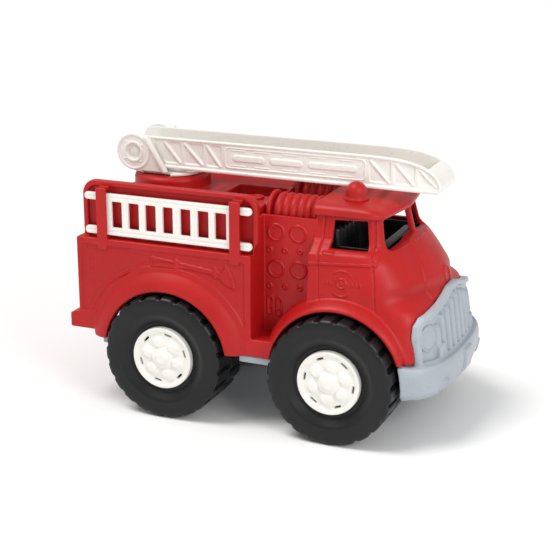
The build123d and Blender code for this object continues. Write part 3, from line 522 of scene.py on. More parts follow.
def body_volume(h):
    V = Vol((-139.5, 0, 48.0), (118.0, 73.0, 160.0), h, half=True)

    # ---- cab: outer form, with its relief, then hollowed
    C = Vol((33.0, 0, 46.0), (118.0, 66.0, 157.0), h, half=True)
    i0, ny = int(np.searchsorted(V.ax[0], 32.0)), int(np.searchsorted(V.ax[1], 67.0))
    C.ax = [V.ax[0][i0:], V.ax[1][:ny], V.ax[2]]
    x, y, z = C.at()
    nose = lofted(x, y, z, NOSE, lo=0.0)
    nose = smax(nose, 33.9 + 0.6 - x, 0.6)
    glass = np.maximum(lofted(x, y, z, GLASS, tip=False), 34.5 - x)
    roof = smax(lofted(x, y, z, ROOF, tip=False), 33.9 - x, 0.8)
    side = ramp(34.0 - y, 3.0) * ramp(x - 92.0, 6.0)
    relief = cab_relief(x, z) * side
    # raised hood between two creases
    crease = 15.5 + 0.42 * (133.0 - z)
    crease = np.where(z > 96, crease, 31.0)
    hood = ramp(y - np.minimum(crease, 27.5), 1.6) * ramp(80.0 - x, 2.0) * ramp(92.0 - z, 3.0)
    ring = np.abs(circ(y, z, 0.0, 102.8, 0.0) - 5.3) - 0.6
    relief = relief + 0.95 * hood + 1.1 * ramp(ring, 0.8) * ramp(95.0 - x, 2.0)
    nose = nose - relief
    body = smin(nose, glass - relief * ramp(124.0 - z, 2.0), 2.2)
    # wipers' posts and the cowl strip
    for yy, xx in ((31.2, 86.6), (13.0, 92.6)):
        body = smin(body, np.sqrt((x - xx) ** 2 + (y - yy) ** 2 + (z - 123.4 + (yy < 20) * -2.6) ** 2) - 1.7, 0.6)
    pts = [(84.6, 36.4, 124.0), (88.6, 27.6, 125.3), (91.2, 18.6, 126.3), (92.9, 9.4, 127.0), (93.4, -3.0, 127.3)]
    for a, b in zip(pts[:-1], pts[1:]):
        a, b = np.array(a), np.array(b)
        e = b - a
        t = np.clip(((x - a[0]) * e[0] + (y - a[1]) * e[1] + (z - a[2]) * e[2]) / (e @ e), 0, 1)
        body = smin(body, np.sqrt((x - a[0] - t * e[0]) ** 2 + (y - a[1] - t * e[1]) ** 2 + (z - a[2] - t * e[2]) ** 2) - 1.0, 0.5)
    full = smin(body, roof, 0.8)
    tall = np.maximum(lofted(x, y, z, GLASS, tip=False, hi=152.4), 34.5 - x)
    inner = np.minimum(np.minimum(nose + relief, tall), roof) + 2.8
    inner = np.maximum(inner, 36.9 - x)
    shell = smax(full, -inner, 0.5)
    # windows
    win = ext(poly(x, z, [(47.3, 125.9), (72.4, 126.2), (69.5, 143.9), (47.5, 142.5)]) - 0.3, y, 30, 70)
    shell = smax(shell, -win, 0.7)
    scr = np.maximum(poly(y, z, [(2.0, 130.4), (8.0, 129.4), (20.0, 127.4), (35.4, 125.2), (37.0, 126.2), (33.0, 142.8), (31.6, 143.6), (16, 145.0), (2.0, 145.9)]) - 0.2, 72.0 - x)
    shell = smax(shell, -scr, 0.7)
    C.v = shell.astype(F)

    # ---- bed
    x, y, z = V.at()
    sx = slice(0, int(np.searchsorted(V.ax[0], 6.0)))
    X, Y, Z = V.at((sx, slice(None), slice(None)))
    side_top = 66.0 + bed_relief(X, Z)
    outer = np.maximum(Y - side_top, Y - 66.0)
    d2 = rect(X, Z, -131.8, -1.5, 40.0, 119.4, 1.4)
    a, b = d2 + 1.2, outer + 1.2
    skin = np.sqrt(np.maximum(a, 0) ** 2 + np.maximum(b, 0) ** 2) + np.minimum(np.maximum(a, b), 0) - 1.2
    hollow = np.maximum(rect(X, Z, -129.0, -4.3, 0.0, 116.8), Y - 63.2)
    skin = smax(skin, -hollow, 0.3)
    # the bed is open between the rails
    skin = np.maximum(skin, -ext(rect(X, Z, -125.4, -4.3, 100.0, 200.0), Y, -60, 55.5))
    V.v[sx] = np.minimum(V.v[sx], skin)
    # rail wall, rail frame, ledge, posts
    V.add(lambda x, y, z: ext(rect(x, z, -128.4, 1.3, 90.0, 158.4, 9.8) + np.maximum(0, 0), y, 55.4, 57.7, 0.5), (-129, 54, 112), (2, 58, 159.5))
    V.add(lambda x, y, z: ext(np.maximum(rect(x, z, -128.5, 1.4, 90.0, 158.6, 10.0), -rect(x, z, -124.7, -2.5, 80.0, 154.7, 6.6)), y, 55.8, 60.7, 1.4), (-129, 54, 112), (2, 61.5, 159.5), 0.6)
    V.cut(lambda x, y, z: np.maximum(ext(rect(x, z, -20, 5, 60, 118.0), y, 52, 64) , -1.5 - x), (-4, 50, 60), (4, 62, 119.6))
    V.cut(lambda x, y, z: ext(poly(x, z, [(-1.5, 110.0), (-1.5, 122.6), (1.5, 127.6), (8, 127.6), (8, 110.0)]), y, 50, 70), (-2, 50, 108), (8, 66, 128))
    for x0, x1 in ((-115.3, -107.8), (-16.6, -9.2)):
        V.add(lambda x, y, z: ext(rect(x, z, x0, x1, 112.0, 154.6, 0.8), y, 64.0, 66.4, 0.7), (x0, 62, 112), (x1, 67, 155), 0.5)
        V.add(lambda x, y, z: ext(rect(x, y, x0, x1, 57.0, 66.4, 0.7), z, 152.4, 154.8, 0.7), (x0, 56, 151), (x1, 67, 155), 0.8)
        V.add(lambda x, y, z: ext(rect(x, y, x0, x1, 57.0, 66.0), z, 118.0, 121.3), (x0, 56, 117), (x1, 67, 122), 0.3)
    # back wall, up to the shelf behind the deck, with a shallow pressed panel
    V.add(lambda x, y, z: ext(rect(x, z, -128.4, -116.4, 80.0, 138.0, 1.2), y, -90, 57.5, 0.3), (-129, 0, 112), (-116, 58, 139))
    V.cut(lambda x, y, z: box(x, y, z, (-125.6, -90, 60.0), (-110.0, 55.0, 135.2)), (-126, 0, 112), (-112, 55, 135.2), 0.3)
    V.cut(lambda x, y, z: ext(rect(y, z, -90, 57.0, 72.0, 112.0, 4.0), x, -135, -131.0, 0.4), (-133, 0, 70), (-130.5, 58, 113), 0.5)
    # front wall of the bed and the pump panel
    V.add(lambda x, y, z: ext(rect(y, z, 40.4, 57.8, 55.0, 142.2, 0.6), x, -4.3, -1.5, 0.5), (-5, 39, 60), (-1, 58.2, 143))
    V.add(lambda x, y, z: np.maximum(ext(rect(x, z, -4.3, 37.0, 59.0, 142.3, 0.6), y, 40.2, 44.4, 0.0), y - 43.0 - pump_relief(x, z)), (-5, 39, 58), (38, 45, 143), 0.6)
    # running board
    V.add(lambda x, y, z: ext(rect(x, z, -13.0, 16.0, 49.8, 62.2, 0.9), y, 40.4, 66.3, 0.9), (-14, 39, 49), (17, 67, 63), 0.6)
    V.cut(lambda x, y, z: box(x, y, z, (-40, 30, 40), (40, 63.4, 59.2)), (-14, 30, 45), (17, 63.4, 59.5))
    # rear step
    V.add(lambda x, y, z: ext(poly(x, z, [(-137.8, 53.8), (-137.8, 63.0), (-131.0, 65.0), (-118.6, 67.4), (-116.6, 60.0), (-118.6, 53.8)]) - 0.7, y, -60, 66.6, 0.9), (-139, 0, 52), (-115, 67.5, 69), 0.4)
    V.cut(lambda x, y, z: box(x, y, z, (-135.6, -50, 40), (-117.0, 63.2, 62.4), 0.5), (-136, 0, 45), (-116, 63.2, 62.5))

    # ---- flares
    def flare(xw, a0, top, r0, r1, back):
        def fn(x, y, z):
            r = np.sqrt((x - xw) ** 2 + (z - ZW) ** 2)
            t = np.clip((r1 - r) / (r1 - r0), 0, 1)
            prof = a0 + (top - a0) * np.sin(t * math.pi / 2)
            slope = np.where((t > 0) & (t < 1), (top - a0) / (r1 - r0) * (math.pi / 2) * np.cos(t * math.pi / 2), 0)
            outer = (y - prof) / np.sqrt(1 + slope ** 2)
            d = np.maximum(outer, back - y)
            return np.maximum(d, np.abs(r - (r1 + 43.0) / 2) - (r1 - 43.0) / 2)
        return fn

    V.add(flare(XR, 65.2, 72.0, 46.6, 59.5, 63.2), (-125, 60, 49), (0, 73, 105), 0.8)
    V.v[i0:, :ny, :] = smin(V.v[i0:, :ny, :], C.v, 0.5)
    V.add(flare(XF, 56.6, 66.7, 46.0, 52.6, 40.2), (0, 38, 49), (112, 68, 98), 1.6)
    # the flare's front end stays behind the grille and on the bumper
    V.cut(lambda x, y, z: np.maximum(np.maximum(102.6 - x, z - 90), 61.5 - y), (101, 60, 45), (118, 73, 92), 0.5)

    # ---- wheel arches and the lower edge
    for xw in (XR, XF):
        V.cut(lambda x, y, z: ext(np.minimum(circ(x, z, xw, ZW, 45.3), rect(x, z, xw - 44.4, xw + 44.4, 0, ZW)), y, -90, 90), (xw - 47, 0, 40), (xw + 47, 75, 90), 0.8)
    low = [(-160, 0), (-160, 53.4), (-119.5, 53.4), (-118.5, 50.2), (94.6, 50.2), (97.4, 57.8), (140, 57.8), (140, 0)]
    V.cut(lambda x, y, z: poly(x, z, low) + 0 * y, (-145, 0, 40), (125, 80, 60), 0.6)
    # room for the grille plate
    gx = lambda y: 124.2 - 0.00215 * np.minimum(y, 44.0) ** 2 - np.maximum(y - 44.0, 0) * 0.6
    V.cut(lambda x, y, z: np.maximum(np.maximum(gx(y) - (z - 57.4) * 0.145 - 5.3 - x, -4.0),
                                     poly(y, z, SHIELD) - 0.4 + 0 * x), (100, 0, 50), (122, 60, 99), 0.4)
    V.cut(lambda x, y, z: np.maximum(rect(y, z, -51, 51, 50, 85.5, 4.0), 103.0 - x), (103, 0, 50), (120, 52, 86), 0.4)
    return V


hb = 0.6
bv = body_volume(hb)
body_piece = mould("body_shell_moulding", bv, RED, "body", keep=0.30, nodes=["body_shell"])
del bv


# ------------------------------------------------------------------ deck, ring, bin and hose reels
def deck_volume(h):
    V = Vol((-125.4, 0, 120.0), (34.0, 55.4, 157.0), h, half=True)
    V.add(lambda x, y, z: ext(rect(x, z, -118.5, -4.6, 142.8, 145.5, 0.9), y, -60, 55.2), (-119, 0, 142), (-4, 56, 146))
    V.add(lambda x, y, z: box(x, y, z, (-118.5, -60, 138.2), (-116.2, 55.2, 144.6), 0.3), (-119, 0, 138), (-116, 56, 145), 0.6)
    # the front deck stands a little higher, with a joint line before it
    V.add(lambda x, y, z: ext(rect(x, y, -50.6, -4.6, -60, 55.2, 0.6), z, 144.0, 146.7, 0.6), (-51, 0, 143), (-4, 56, 147))
    V.cut(lambda x, y, z: box(x, y, z, (-51.8, -60, 144.6), (-50.9, 54.5, 150)), (-52, 0, 144), (-50, 56, 147), 0.2)
    # bin
    V.add(lambda x, y, z: box(x, y, z, (-45.4, -20, 121.0), (-3.0, 15.2, 145.0), 2.0), (-46, 0, 121), (-2, 16, 145), 0.3)
    V.cut(lambda x, y, z: box(x, y, z, (-43.4, -20, 123.0), (-5.0, 13.2, 160.0), 3.0), (-44, 0, 122), (-4, 14, 150), 0.8)
    # turntable ring
    def ring(x, y, z):
        r = np.sqrt((x - XT) ** 2 + y ** 2)
        return rect(r, z, -40.0, 26.8, 140.0, 155.4, 3.4)
    V.add(ring, (XT - 28, 0, 143), (XT + 28, 28, 156), 1.2)
    V.cut(lambda x, y, z: rect(np.sqrt((x - XT) ** 2 + y ** 2), z, -30.0, 23.8, 120.0, 150.0, 1.0), (XT - 24, 0, 120), (XT + 24, 24, 150), 0.4)
    V.cut(lambda x, y, z: rect(np.sqrt((x - XT) ** 2 + y ** 2), z, -30.0, 9.1, 120.0, 170.0), (XT - 10, 0, 120), (XT + 10, 10, 157))
    # tray and front wall under the reels
    V.add(lambda x, y, z: box(x, y, z, (-4.8, -60, 124.0), (33.5, 39.8, 126.8), 0.3), (-5, 0, 124), (34, 40, 127), 0.6)
    V.add(lambda x, y, z: box(x, y, z, (-7.4, -60, 124.0), (-4.6, 39.8, 145.5), 0.3), (-8, 0, 124), (-4, 40, 146), 0.6)
    # reels
    def reel(x, y, z):
        r = np.sqrt((y - 25.4) ** 2 + (z - 141.0) ** 2)
        d = rect(x, r, -2.0, 0.9, -30, 14.2, 1.2)
        d = np.minimum(d, rect(x, r, -6.4, 33.2, -30, 9.0, 0.3))
        for k in range(6):
            xk = 5.2 + 5.4 * k
            d = smin(d, np.sqrt((x - xk) ** 2 + (r - 10.4) ** 2) - 2.75, 0.35)
        return np.maximum(d, x - 33.3)
    V.add(reel, (-8, 10, 126), (34, 40, 156), 0.5)
    return V


deck = mould("deck_moulding", deck_volume(0.6), RED, "body", keep=0.4, nodes=["deck_insert"])


def lathe(name, prof, centre, axis="Z", n=64, material=None, body="body", nodes=()):
    """A turned piece: prof is a list of (radius, height) in mm about centre."""
    prof = np.array(prof, float)
    ang = np.arange(n) * 2 * math.pi / n
    v = np.zeros((len(prof), n, 3))
    v[:, :, 0] = prof[:, :1] * np.cos(ang)
    v[:, :, 1] = prof[:, :1] * np.sin(ang)
    v[:, :, 2] = prof[:, 1:]
    if axis == "Y":
        v = np.stack([v[:, :, 0], v[:, :, 2], -v[:, :, 1]], 2)
    v = v.reshape(-1, 3) + np.array(centre)
    q = []
    for i in range(len(prof) - 1):
        for k in range(n):
            q.append((i * n + k, i * n + (k + 1) % n, (i + 1) * n + (k + 1) % n, (i + 1) * n + k))
    q = np.array(q)
    o = make_mesh(name, (v + [XC, 0, 0]) / 1000.0, q)
    import bmesh
    bm = bmesh.new()
    bm.from_mesh(o.data)
    bmesh.ops.remove_doubles(bm, verts=bm.verts, dist=1e-6)
    bmesh.ops.recalc_face_normals(bm, faces=bm.faces)
    bm.to_mesh(o.data)
    bm.free()
    for f in o.data.polygons:
        f.use_smooth = True
    o.data.materials.append(material)
    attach(o, body)
    for m in nodes:
        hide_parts(m)
    return o


# filler cap on the deck
lathe("filler_cap", [(0.0, 146.2), (5.2, 146.2), (5.5, 146.5), (5.5, 147.7), (5.2, 148.1), (4.6, 148.2), (4.2, 148.1), (3.9, 147.6), (3.4, 147.5), (0.0, 147.5)],
      (-17.0, -20.5, 0), material=RED, body="body")

# beacon
blo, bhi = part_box("beacon")
BX = (blo.x + bhi.x) * 500.0 - XC
BY = (blo.y + bhi.y) * 500.0
BT = bhi.z * 1000.0
dome = [(0.0, 150.5), (2.9, 150.5), (2.9, 154.0), (7.6, 154.0), (8.0, 154.2), (8.1, 154.8), (7.9, 155.4), (7.4, 155.9), (7.05, 156.6), (7.0, 157.4)]
R0, Z0 = 7.0, BT - 7.0
dome += [(7.0, Z0)] + [(R0 * math.cos(a), Z0 + 6.95 * math.sin(a)) for a in np.linspace(0.08, math.pi / 2 - 0.06, 14)] + [(0.0, Z0 + 6.95)]
lathe("beacon_dome", dome, (BX, BY, 0), material=RED, body="body", nodes=["beacon"])


# ------------------------------------------------------------------ chassis, bumper and grille
BUMPER = [
    (30.6, [(98.0, 56.0), (104, 56.4), (110, 54.4), (115.4, 49), (119.2, 41), (122.2, 28), (123.6, 14), (124.0, 0)]),
    (36.0, [(98.0, 62.6), (105, 62.8), (113.2, 59.4), (119.4, 52.4), (123.4, 43), (126.2, 28), (127.6, 14), (128.0, 0)]),
    (43.0, [(98.0, 65.4), (106, 65.2), (115.4, 61.2), (121.8, 53.6), (125.8, 43.6), (128.4, 28), (129.6, 14), (130.0, 0)]),
    (50.0, [(98.0, 66.2), (106.5, 66.0), (116.0, 61.8), (122.4, 53.8), (126.2, 43.6), (128.8, 28), (130.0, 14), (130.4, 0)]),
    (54.6, [(98.0, 66.0), (106, 65.8), (115.4, 61.4), (121.6, 53.2), (125.4, 43.0), (128.0, 28), (129.2, 14), (129.6, 0)]),
    (57.4, [(98.0, 65.2), (105.4, 65.0), (114.4, 60.2), (120.2, 52.0), (124.0, 42.0), (126.6, 28), (127.8, 14), (128.2, 0)]),
]
INNER = [(-20, 40), (53.2, 40), (53.2, 74), (51.2, 80.2), (47.6, 83.8), (42, 85.8), (29, 87.8), (16, 91.2), (8.5, 93.8), (0, 94.6), (-8.5, 93.8), (-20, 91)]
lo_c, hi_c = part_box("chassis")


def chassis_volume(h):
    V = Vol((-116.0, 0, 30.0), (131.0, 67.0, 99.0), h, half=True)
    sub = (slice(int(np.searchsorted(V.ax[0], 92.0)), None), slice(None), slice(0, int(np.searchsorted(V.ax[2], 60.5))))
    X, Y, Z = V.at(sub)
    b = lofted(X, Y, Z, BUMPER)
    # number plate, raised on the middle, and a ring at each side
    plate = rect(Y, Z, -7.8, 7.8, 38.4, 53.6, 0.8)
    rise = 1.3 * ramp(plate, 0.5)
    d = circ(Y, Z, 40.5, 40.6, 0.0)
    rise = rise + 1.3 * ramp(np.abs(d - 4.6) - 0.5, 0.6) + 0.3 * ramp(d - 3.4, 0.6)
    rise = rise * ramp(112.0 - X, 2.0) - 1.35 * ramp(104.0 - X, 6.0)
    rise = rise - 0.8 * ramp(np.abs(plate - 0.7) - 0.4, 0.6) * ramp(112.0 - X, 2.0)
    outer = smax(b - rise, Z - 57.4, 1.6)
    outer = smax(outer, 31.2 - Z, 1.4)
    inner = np.maximum(b + 3.0, Z - 54.6)
    shell = smax(outer, -inner, 0.4)
    shell = smax(shell, 98.4 - X, 0.4)
    shell = smax(shell, -(np.sqrt((X - XF) ** 2 + (Z - ZW) ** 2) - 45.2), 0.5)
    V.v[sub] = np.minimum(V.v[sub], shell)

    # grille plate, curved in plan and leaning back
    def face(y, z):
        yy = np.minimum(y, 44.0)
        return 124.2 - 0.00215 * yy ** 2 - np.maximum(y - 44.0, 0) * 0.62 - (z - 57.4) * 0.145

    def plate_fn(x, y, z):
        f = (x - face(y, z)) * 0.95
        return smax(smax(f, -5.0 - f, 0.4), poly(y, z, SHIELD) + 0.2, 1.3)

    V.add(plate_fn, (100, 0, 56), (126, 58, 99), 0.3)
    V.cut(lambda x, y, z: smax(-(x - face(y, z)) * 0.95 - 2.7, np.maximum(poly(y, z, INNER), 58.2 - z), 0.7), (100, 0, 57), (128, 55, 96), 0.5)
    # upright bars, with rounded fronts and arched tops
    for yb, zt in ((0.0, 92.0), (9.8, 90.6), (19.2, 87.8), (28.2, 84.8), (35.6, 79.8)):
        def bar(x, y, z, yb=yb, zt=zt):
            f = x - face(y, z)
            top = np.maximum(z - (zt - 4.0), 0.0)
            fr = f + 0.7 + 0.16 * top ** 2 / 1.6
            e = np.sqrt(((y - yb) / 1.05) ** 2 + (fr + 2.0) ** 2) - 2.75
            return smax(e, z - zt, 1.5)
        V.add(bar, (104, yb - 4, 57), (127, yb + 4, zt + 1), 0.6)
    # headlamps: a rim and a slightly domed lens
    hx, hy, hz = 112.6, 44.6, 72.0
    n = np.array([0.905, 0.40, 0.13])
    n /= np.linalg.norm(n)

    def lamp(x, y, z):
        a = (x - hx) * n[0] + (y - hy) * n[1] + (z - hz) * n[2]
        r2 = (x - hx) ** 2 + (y - hy) ** 2 + (z - hz) ** 2 - a * a
        r = np.sqrt(np.maximum(r2, 0))
        d = rect(a, r, -6, 3.0, -20, 9.0, 1.2)
        d = smax(d, -rect(a, r, 1.9, 9, -20, 7.4, 0.5), 0.4)
        return np.minimum(d, np.sqrt((a + 18.0) ** 2 + r ** 2) - 20.7 + np.maximum(r - 7.0, 0))
    V.add(lamp, (100, 34, 60), (124, 57, 84), 0.5)
    # fog lamps
    fn_ = np.array([0.985, 0.17, 0.0])

    def fog(x, y, z):
        a = (x - 115.0) * fn_[0] + (y - 32.4) * fn_[1]
        r2 = (x - 115.0) ** 2 + (y - 32.4) ** 2 + (z - 61.0) ** 2 - a * a
        r = np.sqrt(np.maximum(r2, 0))
        d = rect(a, r, -3, 6.2, -20, 4.9, 0.5)
        d = np.minimum(d, rect(a, r, 3.6, 6.8, -20, 5.5, 0.8))
        return smax(d, -rect(a, r, 6.1, 14, -20, 4.2, 0.3), 0.3)
    V.add(fog, (110, 25, 54), (128, 40, 68), 0.5)

    # frame rails, tie, side steps, tail
    V.add(lambda x, y, z: box(x, y, z, (86, -50, 48.2), (106, 30, 57.3), 1.0), (86, 0, 48), (106, 31, 58), 0.6)
    V.add(lambda x, y, z: box(x, y, z, (-114, -50, 35.2), (100, 29, 51.2), 1.2), (-114, 0, 35), (100, 30, 52), 0.6)
    for x0, x1 in ((-110, XR - 9), (XR + 9, XF - 9), (XF + 9, 94)):
        V.cut(lambda x, y, z: box(x, y, z, (x0, -50, 20), (x1, 26, 48.2), 1.2), (x0, 0, 30), (x1, 27, 49), 0.5)
    for xr in (-98, -86, -42, -30, -18, 20, 32, 78):
        V.add(lambda x, y, z: box(x, y, z, (xr - 0.9, -50, 37.0), (xr + 0.9, 27, 49.0), 0.3), (xr - 2, 0, 36), (xr + 2, 28, 50), 0.4)
    V.add(lambda x, y, z: box(x, y, z, (-10.8, -50, 44.9), (13.2, 65.0, 49.9), 1.0), (-11, 0, 44), (14, 66, 50), 0.6)
    V.cut(lambda x, y, z: box(x, y, z, (-8.8, 29, 30), (11.2, 63.0, 47.9), 0.8), (-9, 29, 40), (12, 63, 48), 0.3)
    V.add(lambda x, y, z: box(x, y, z, (-115.0, -50, 46.8), (-108.0, 63.0, 51.2), 0.9), (-115, 0, 46), (-108, 64, 52), 0.6)
    V.add(lambda x, y, z: box(x, y, z, (-114.9, 60, 43.4), (-110.3, 64, 50), 1.2), (-115, 60, 43), (-110, 64, 50), 0.5)
    for xw in (XR, XF):
        V.cut(lambda x, y, z: ext(circ(x, z, xw, ZW, 3.2), y, -50, 50), (xw - 4, 0, 38), (xw + 4, 32, 48))
        V.add(lambda x, y, z: ext(np.maximum(circ(x, z, xw, ZW, 6.4), -circ(x, z, xw, ZW, 3.2)), y, 27, 31.5, 0.6), (xw - 7, 26, 36), (xw + 7, 32, 50), 0.3)
    return V


mould("chassis_moulding", chassis_volume(0.6), GREY, "body", keep=0.34, nodes=["chassis"])


# ------------------------------------------------------------------ cab interior
def cabin_volume(h):
    V = Vol((37.8, 0, 91.5), (86.5, 39.2, 139.0), h, half=True)
    V.add(lambda x, y, z: box(x, y, z, (38, -60, 92.2), (86, 39, 95.0), 0.5), (38, 0, 92), (86, 39, 95))
    V.add(lambda x, y, z: box(x, y, z, (42, -60, 94.0), (69.8, 37.6, 111.2), 3.0), (42, 0, 94), (70, 38, 112), 1.0)
    # back rest, leaning, with upright flutes on each half
    def rest(x, y, z):
        lean = (z - 111.0) * 0.10
        d = box(x + lean, y, z, (41.4, 2.0, 104.0), (52.0, 37.0, 137.4), 3.6)
        flute = 0.9 * np.cos((y - 19.5) * 2 * math.pi / 7.0)
        return d - flute * ramp(45.0 - (x + lean), 2.0) * ramp(np.abs(y - 19.5) - 15.0, 2.0) * 0.8
    V.add(rest, (38, 0, 104), (53, 38, 138), 0.6)
    V.add(lambda x, y, z: box(x, y, z, (39.0, -60, 104.0), (43.5, 37.5, 136.0), 1.5), (38, 0, 104), (44, 38, 137), 1.0)
    V.add(lambda x, y, z: box(x, y, z, (38.6, 36.6, 92.4), (80.0, 38.9, 125.4), 0.8), (38, 36, 92), (81, 39, 126), 0.3)
    V.cut(lambda x, y, z: 38.6 - x, (36, 0, 90), (39, 40, 140))
    V.add(lambda x, y, z: box(x, y, z, (73.8, -60, 94.0), (79.4, 33.8, 123.0), 1.5), (73, 0, 94), (80, 34, 123), 0.6)
    V.add(lambda x, y, z: box(x, y, z, (72.4, -60, 121.4), (79.8, 31.0, 125.0), 1.4), (72, 0, 121), (80, 31, 126), 1.0)
    return V


mould("cab_interior_moulding", cabin_volume(0.8), BLACK, "body", keep=0.4, nodes=["cab_interior"])


# ------------------------------------------------------------------ wheels
def tyre_volume(h):
    """A left tyre about the origin, y outwards."""
    V = Vol((-43.6, 34.0, -43.6), (43.6, 77.6, 43.6), h)
    x, y, z = V.at()
    r = np.sqrt(x * x + z * z)
    prof = [(21.6, 36.2), (37.4, 35.0), (40.4, 37.0), (40.4, 70.0), (42.0, 74.4), (41.4, 75.8), (40.0, 76.6), (37.6, 76.95), (31.4, 77.0), (30.0, 76.4), (24.2, 72.2), (21.6, 71.8)]
    base = poly(r, y, prof) + 0.0
    ang = np.arctan2(z, x)
    n = 22
    def lugs(lo, hi, off):
        p = 2 * math.pi / n
        a = (np.mod(ang + off + p / 2, p) - p / 2) * r
        w = 4.6 - 0.2 * (r - 40.0)
        d = smax(np.abs(a) - w, r - 43.1, 0.6)
        d = smax(d, 36.0 - r, 0.4)
        return ext(d, y, lo, hi, 0.7)
    # outer row wraps a little way down the shoulder
    out = lugs(57.0, 76.2, 0.0)
    out = smax(out, (r - 43.1) * 0.75 + (y - 74.6) * 0.66, 0.6)
    inn = lugs(35.9, 55.2, math.pi / n)
    mid = lugs(51.0, 61.0, math.pi / n * 0.5)
    d = smin(base, np.minimum(out, inn), 0.8)
    d = smax(d, -rect(r, y, 24.6, 36.8, 10.0, 71.5, 1.0), 0.4)
    V.v = np.broadcast_to(d, V.v.shape).astype(F)
    return V


def hub_volume(h):
    V = Vol((-22.0, 64.0, -22.0), (22.0, 78.4, 22.0), h)
    x, y, z = V.at()
    r = np.sqrt(x * x + z * z)
    ang = np.arctan2(z, x)
    # rim, dished web, scalloped boss and dome
    web = 74.2 + 1.5 * ramp(18.6 - r, 2.4) - 0.5 * ramp(np.abs(r - 19.6) - 0.1, 1.0)
    p = 2 * math.pi / 6
    a = (np.mod(ang + math.pi / 2, p) - p / 2)
    bx, bz = r * np.cos(a) - 11.2, r * np.sin(a)
    bulge = 2.1 * ramp(np.sqrt(bx * bx + (bz * 0.92) ** 2) - 3.5, 3.2)
    centre = 2.0 * ramp(r - 7.4, 2.6) + 1.1 * ramp(r - 4.6, 3.0)
    top = web + np.maximum(bulge, centre) + 0.15 * np.minimum(bulge, centre)
    d = (y - top) * 0.88
    d = smax(d, r - 21.55, 0.7)
    d = np.maximum(d, 70.4 - y)
    d = np.maximum(d, -np.maximum(r - 19.4, y - 70.6 - 0 * r))
    # six slots near the rim
    aa = (np.mod(ang, p) - p / 2)
    sx_, sz_ = r * np.cos(aa) - 16.9, r * np.sin(aa)
    d = smax(d, -rect(sx_ + 0 * y, sz_ + 0 * y, -0.75, 0.75, -2.7, 2.7, 0.5), 0.25)
    V.v = np.broadcast_to(d, V.v.shape).astype(F)
    return V


TV = tyre_volume(0.7)
TP, TQ, TG = surface(TV)
HV = hub_volume(0.45)
HP, HQ, HG = surface(HV)


def wheel_piece(name, P, Q, G, keep, turn, s, xw, material, body, node):
    """Places the wheel field on one axle end; s is the side, turn the spin at rest."""
    o = make_mesh(name, P / 1000.0, Q)
    if keep < 1:
        m = o.modifiers.new("lighter", "DECIMATE")
        m.ratio = keep
        dg = bpy.context.evaluated_depsgraph_get()
        me = bpy.data.meshes.new_from_object(o.evaluated_get(dg))
        old = o.data
        o.modifiers.clear()
        o.data = me
        bpy.data.meshes.remove(old)
    me = o.data
    co = np.zeros(len(me.vertices) * 3, F)
    me.vertices.foreach_get("co", co)
    co = co.reshape(-1, 3).astype(float)
    n = G(co * 1000.0)
    n /= np.maximum(np.linalg.norm(n, axis=1), 1e-6)[:, None]
    c, sn = math.cos(turn), math.sin(turn)
    R = np.array([[c, 0, sn], [0, 1, 0], [-sn, 0, c]])
    if s < 0:
        R = R @ np.diag([-1.0, -1.0, 1.0])
    co = co @ R.T + np.array([(xw + XC) / 1000.0, 0, ZW / 1000.0])
    n = n @ R.T
    me.vertices.foreach_set("co", co.astype(F).ravel())
    me.update()
    me.polygons.foreach_set("use_smooth", np.ones(len(me.polygons), bool))
    me.normals_split_custom_set_from_vertices(n.tolist())
    me.materials.clear()
    me.materials.append(material)
    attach(o, body)
    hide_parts(node)
    return o


for tag, xw, turns in (("front", XF, 0.663), ("rear", XR, 0.244)):
    for s, side in SIDES:
        wheel_piece("tyre_body_%s_%s" % (tag, side), TP, TQ, TG, 0.34, turns, s, xw, TYRE, tag + "_axle_set", "tyre_%s_%s" % (tag, side))
        wheel_piece("hub_cap_%s_%s" % (tag, side), HP, HQ, HG, 0.5, turns, s, xw, WHITE, tag + "_axle_set", "hub_%s_%s" % (tag, side))
    lo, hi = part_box(tag + "_axle")
    r = (hi.z - lo.z) * 500.0 - 0.05
    L = hi.y * 1000.0
    lathe(tag + "_axle_rod", [(0, -L), (r - 0.5, -L), (r, -L + 0.5), (r, -30), (r, 30), (r, L - 0.5), (r - 0.5, L), (0, L)], (xw, 0, ZW), axis="Y", n=40,
          material=GREY, body=tag + "_axle_set", nodes=[tag + "_axle"])


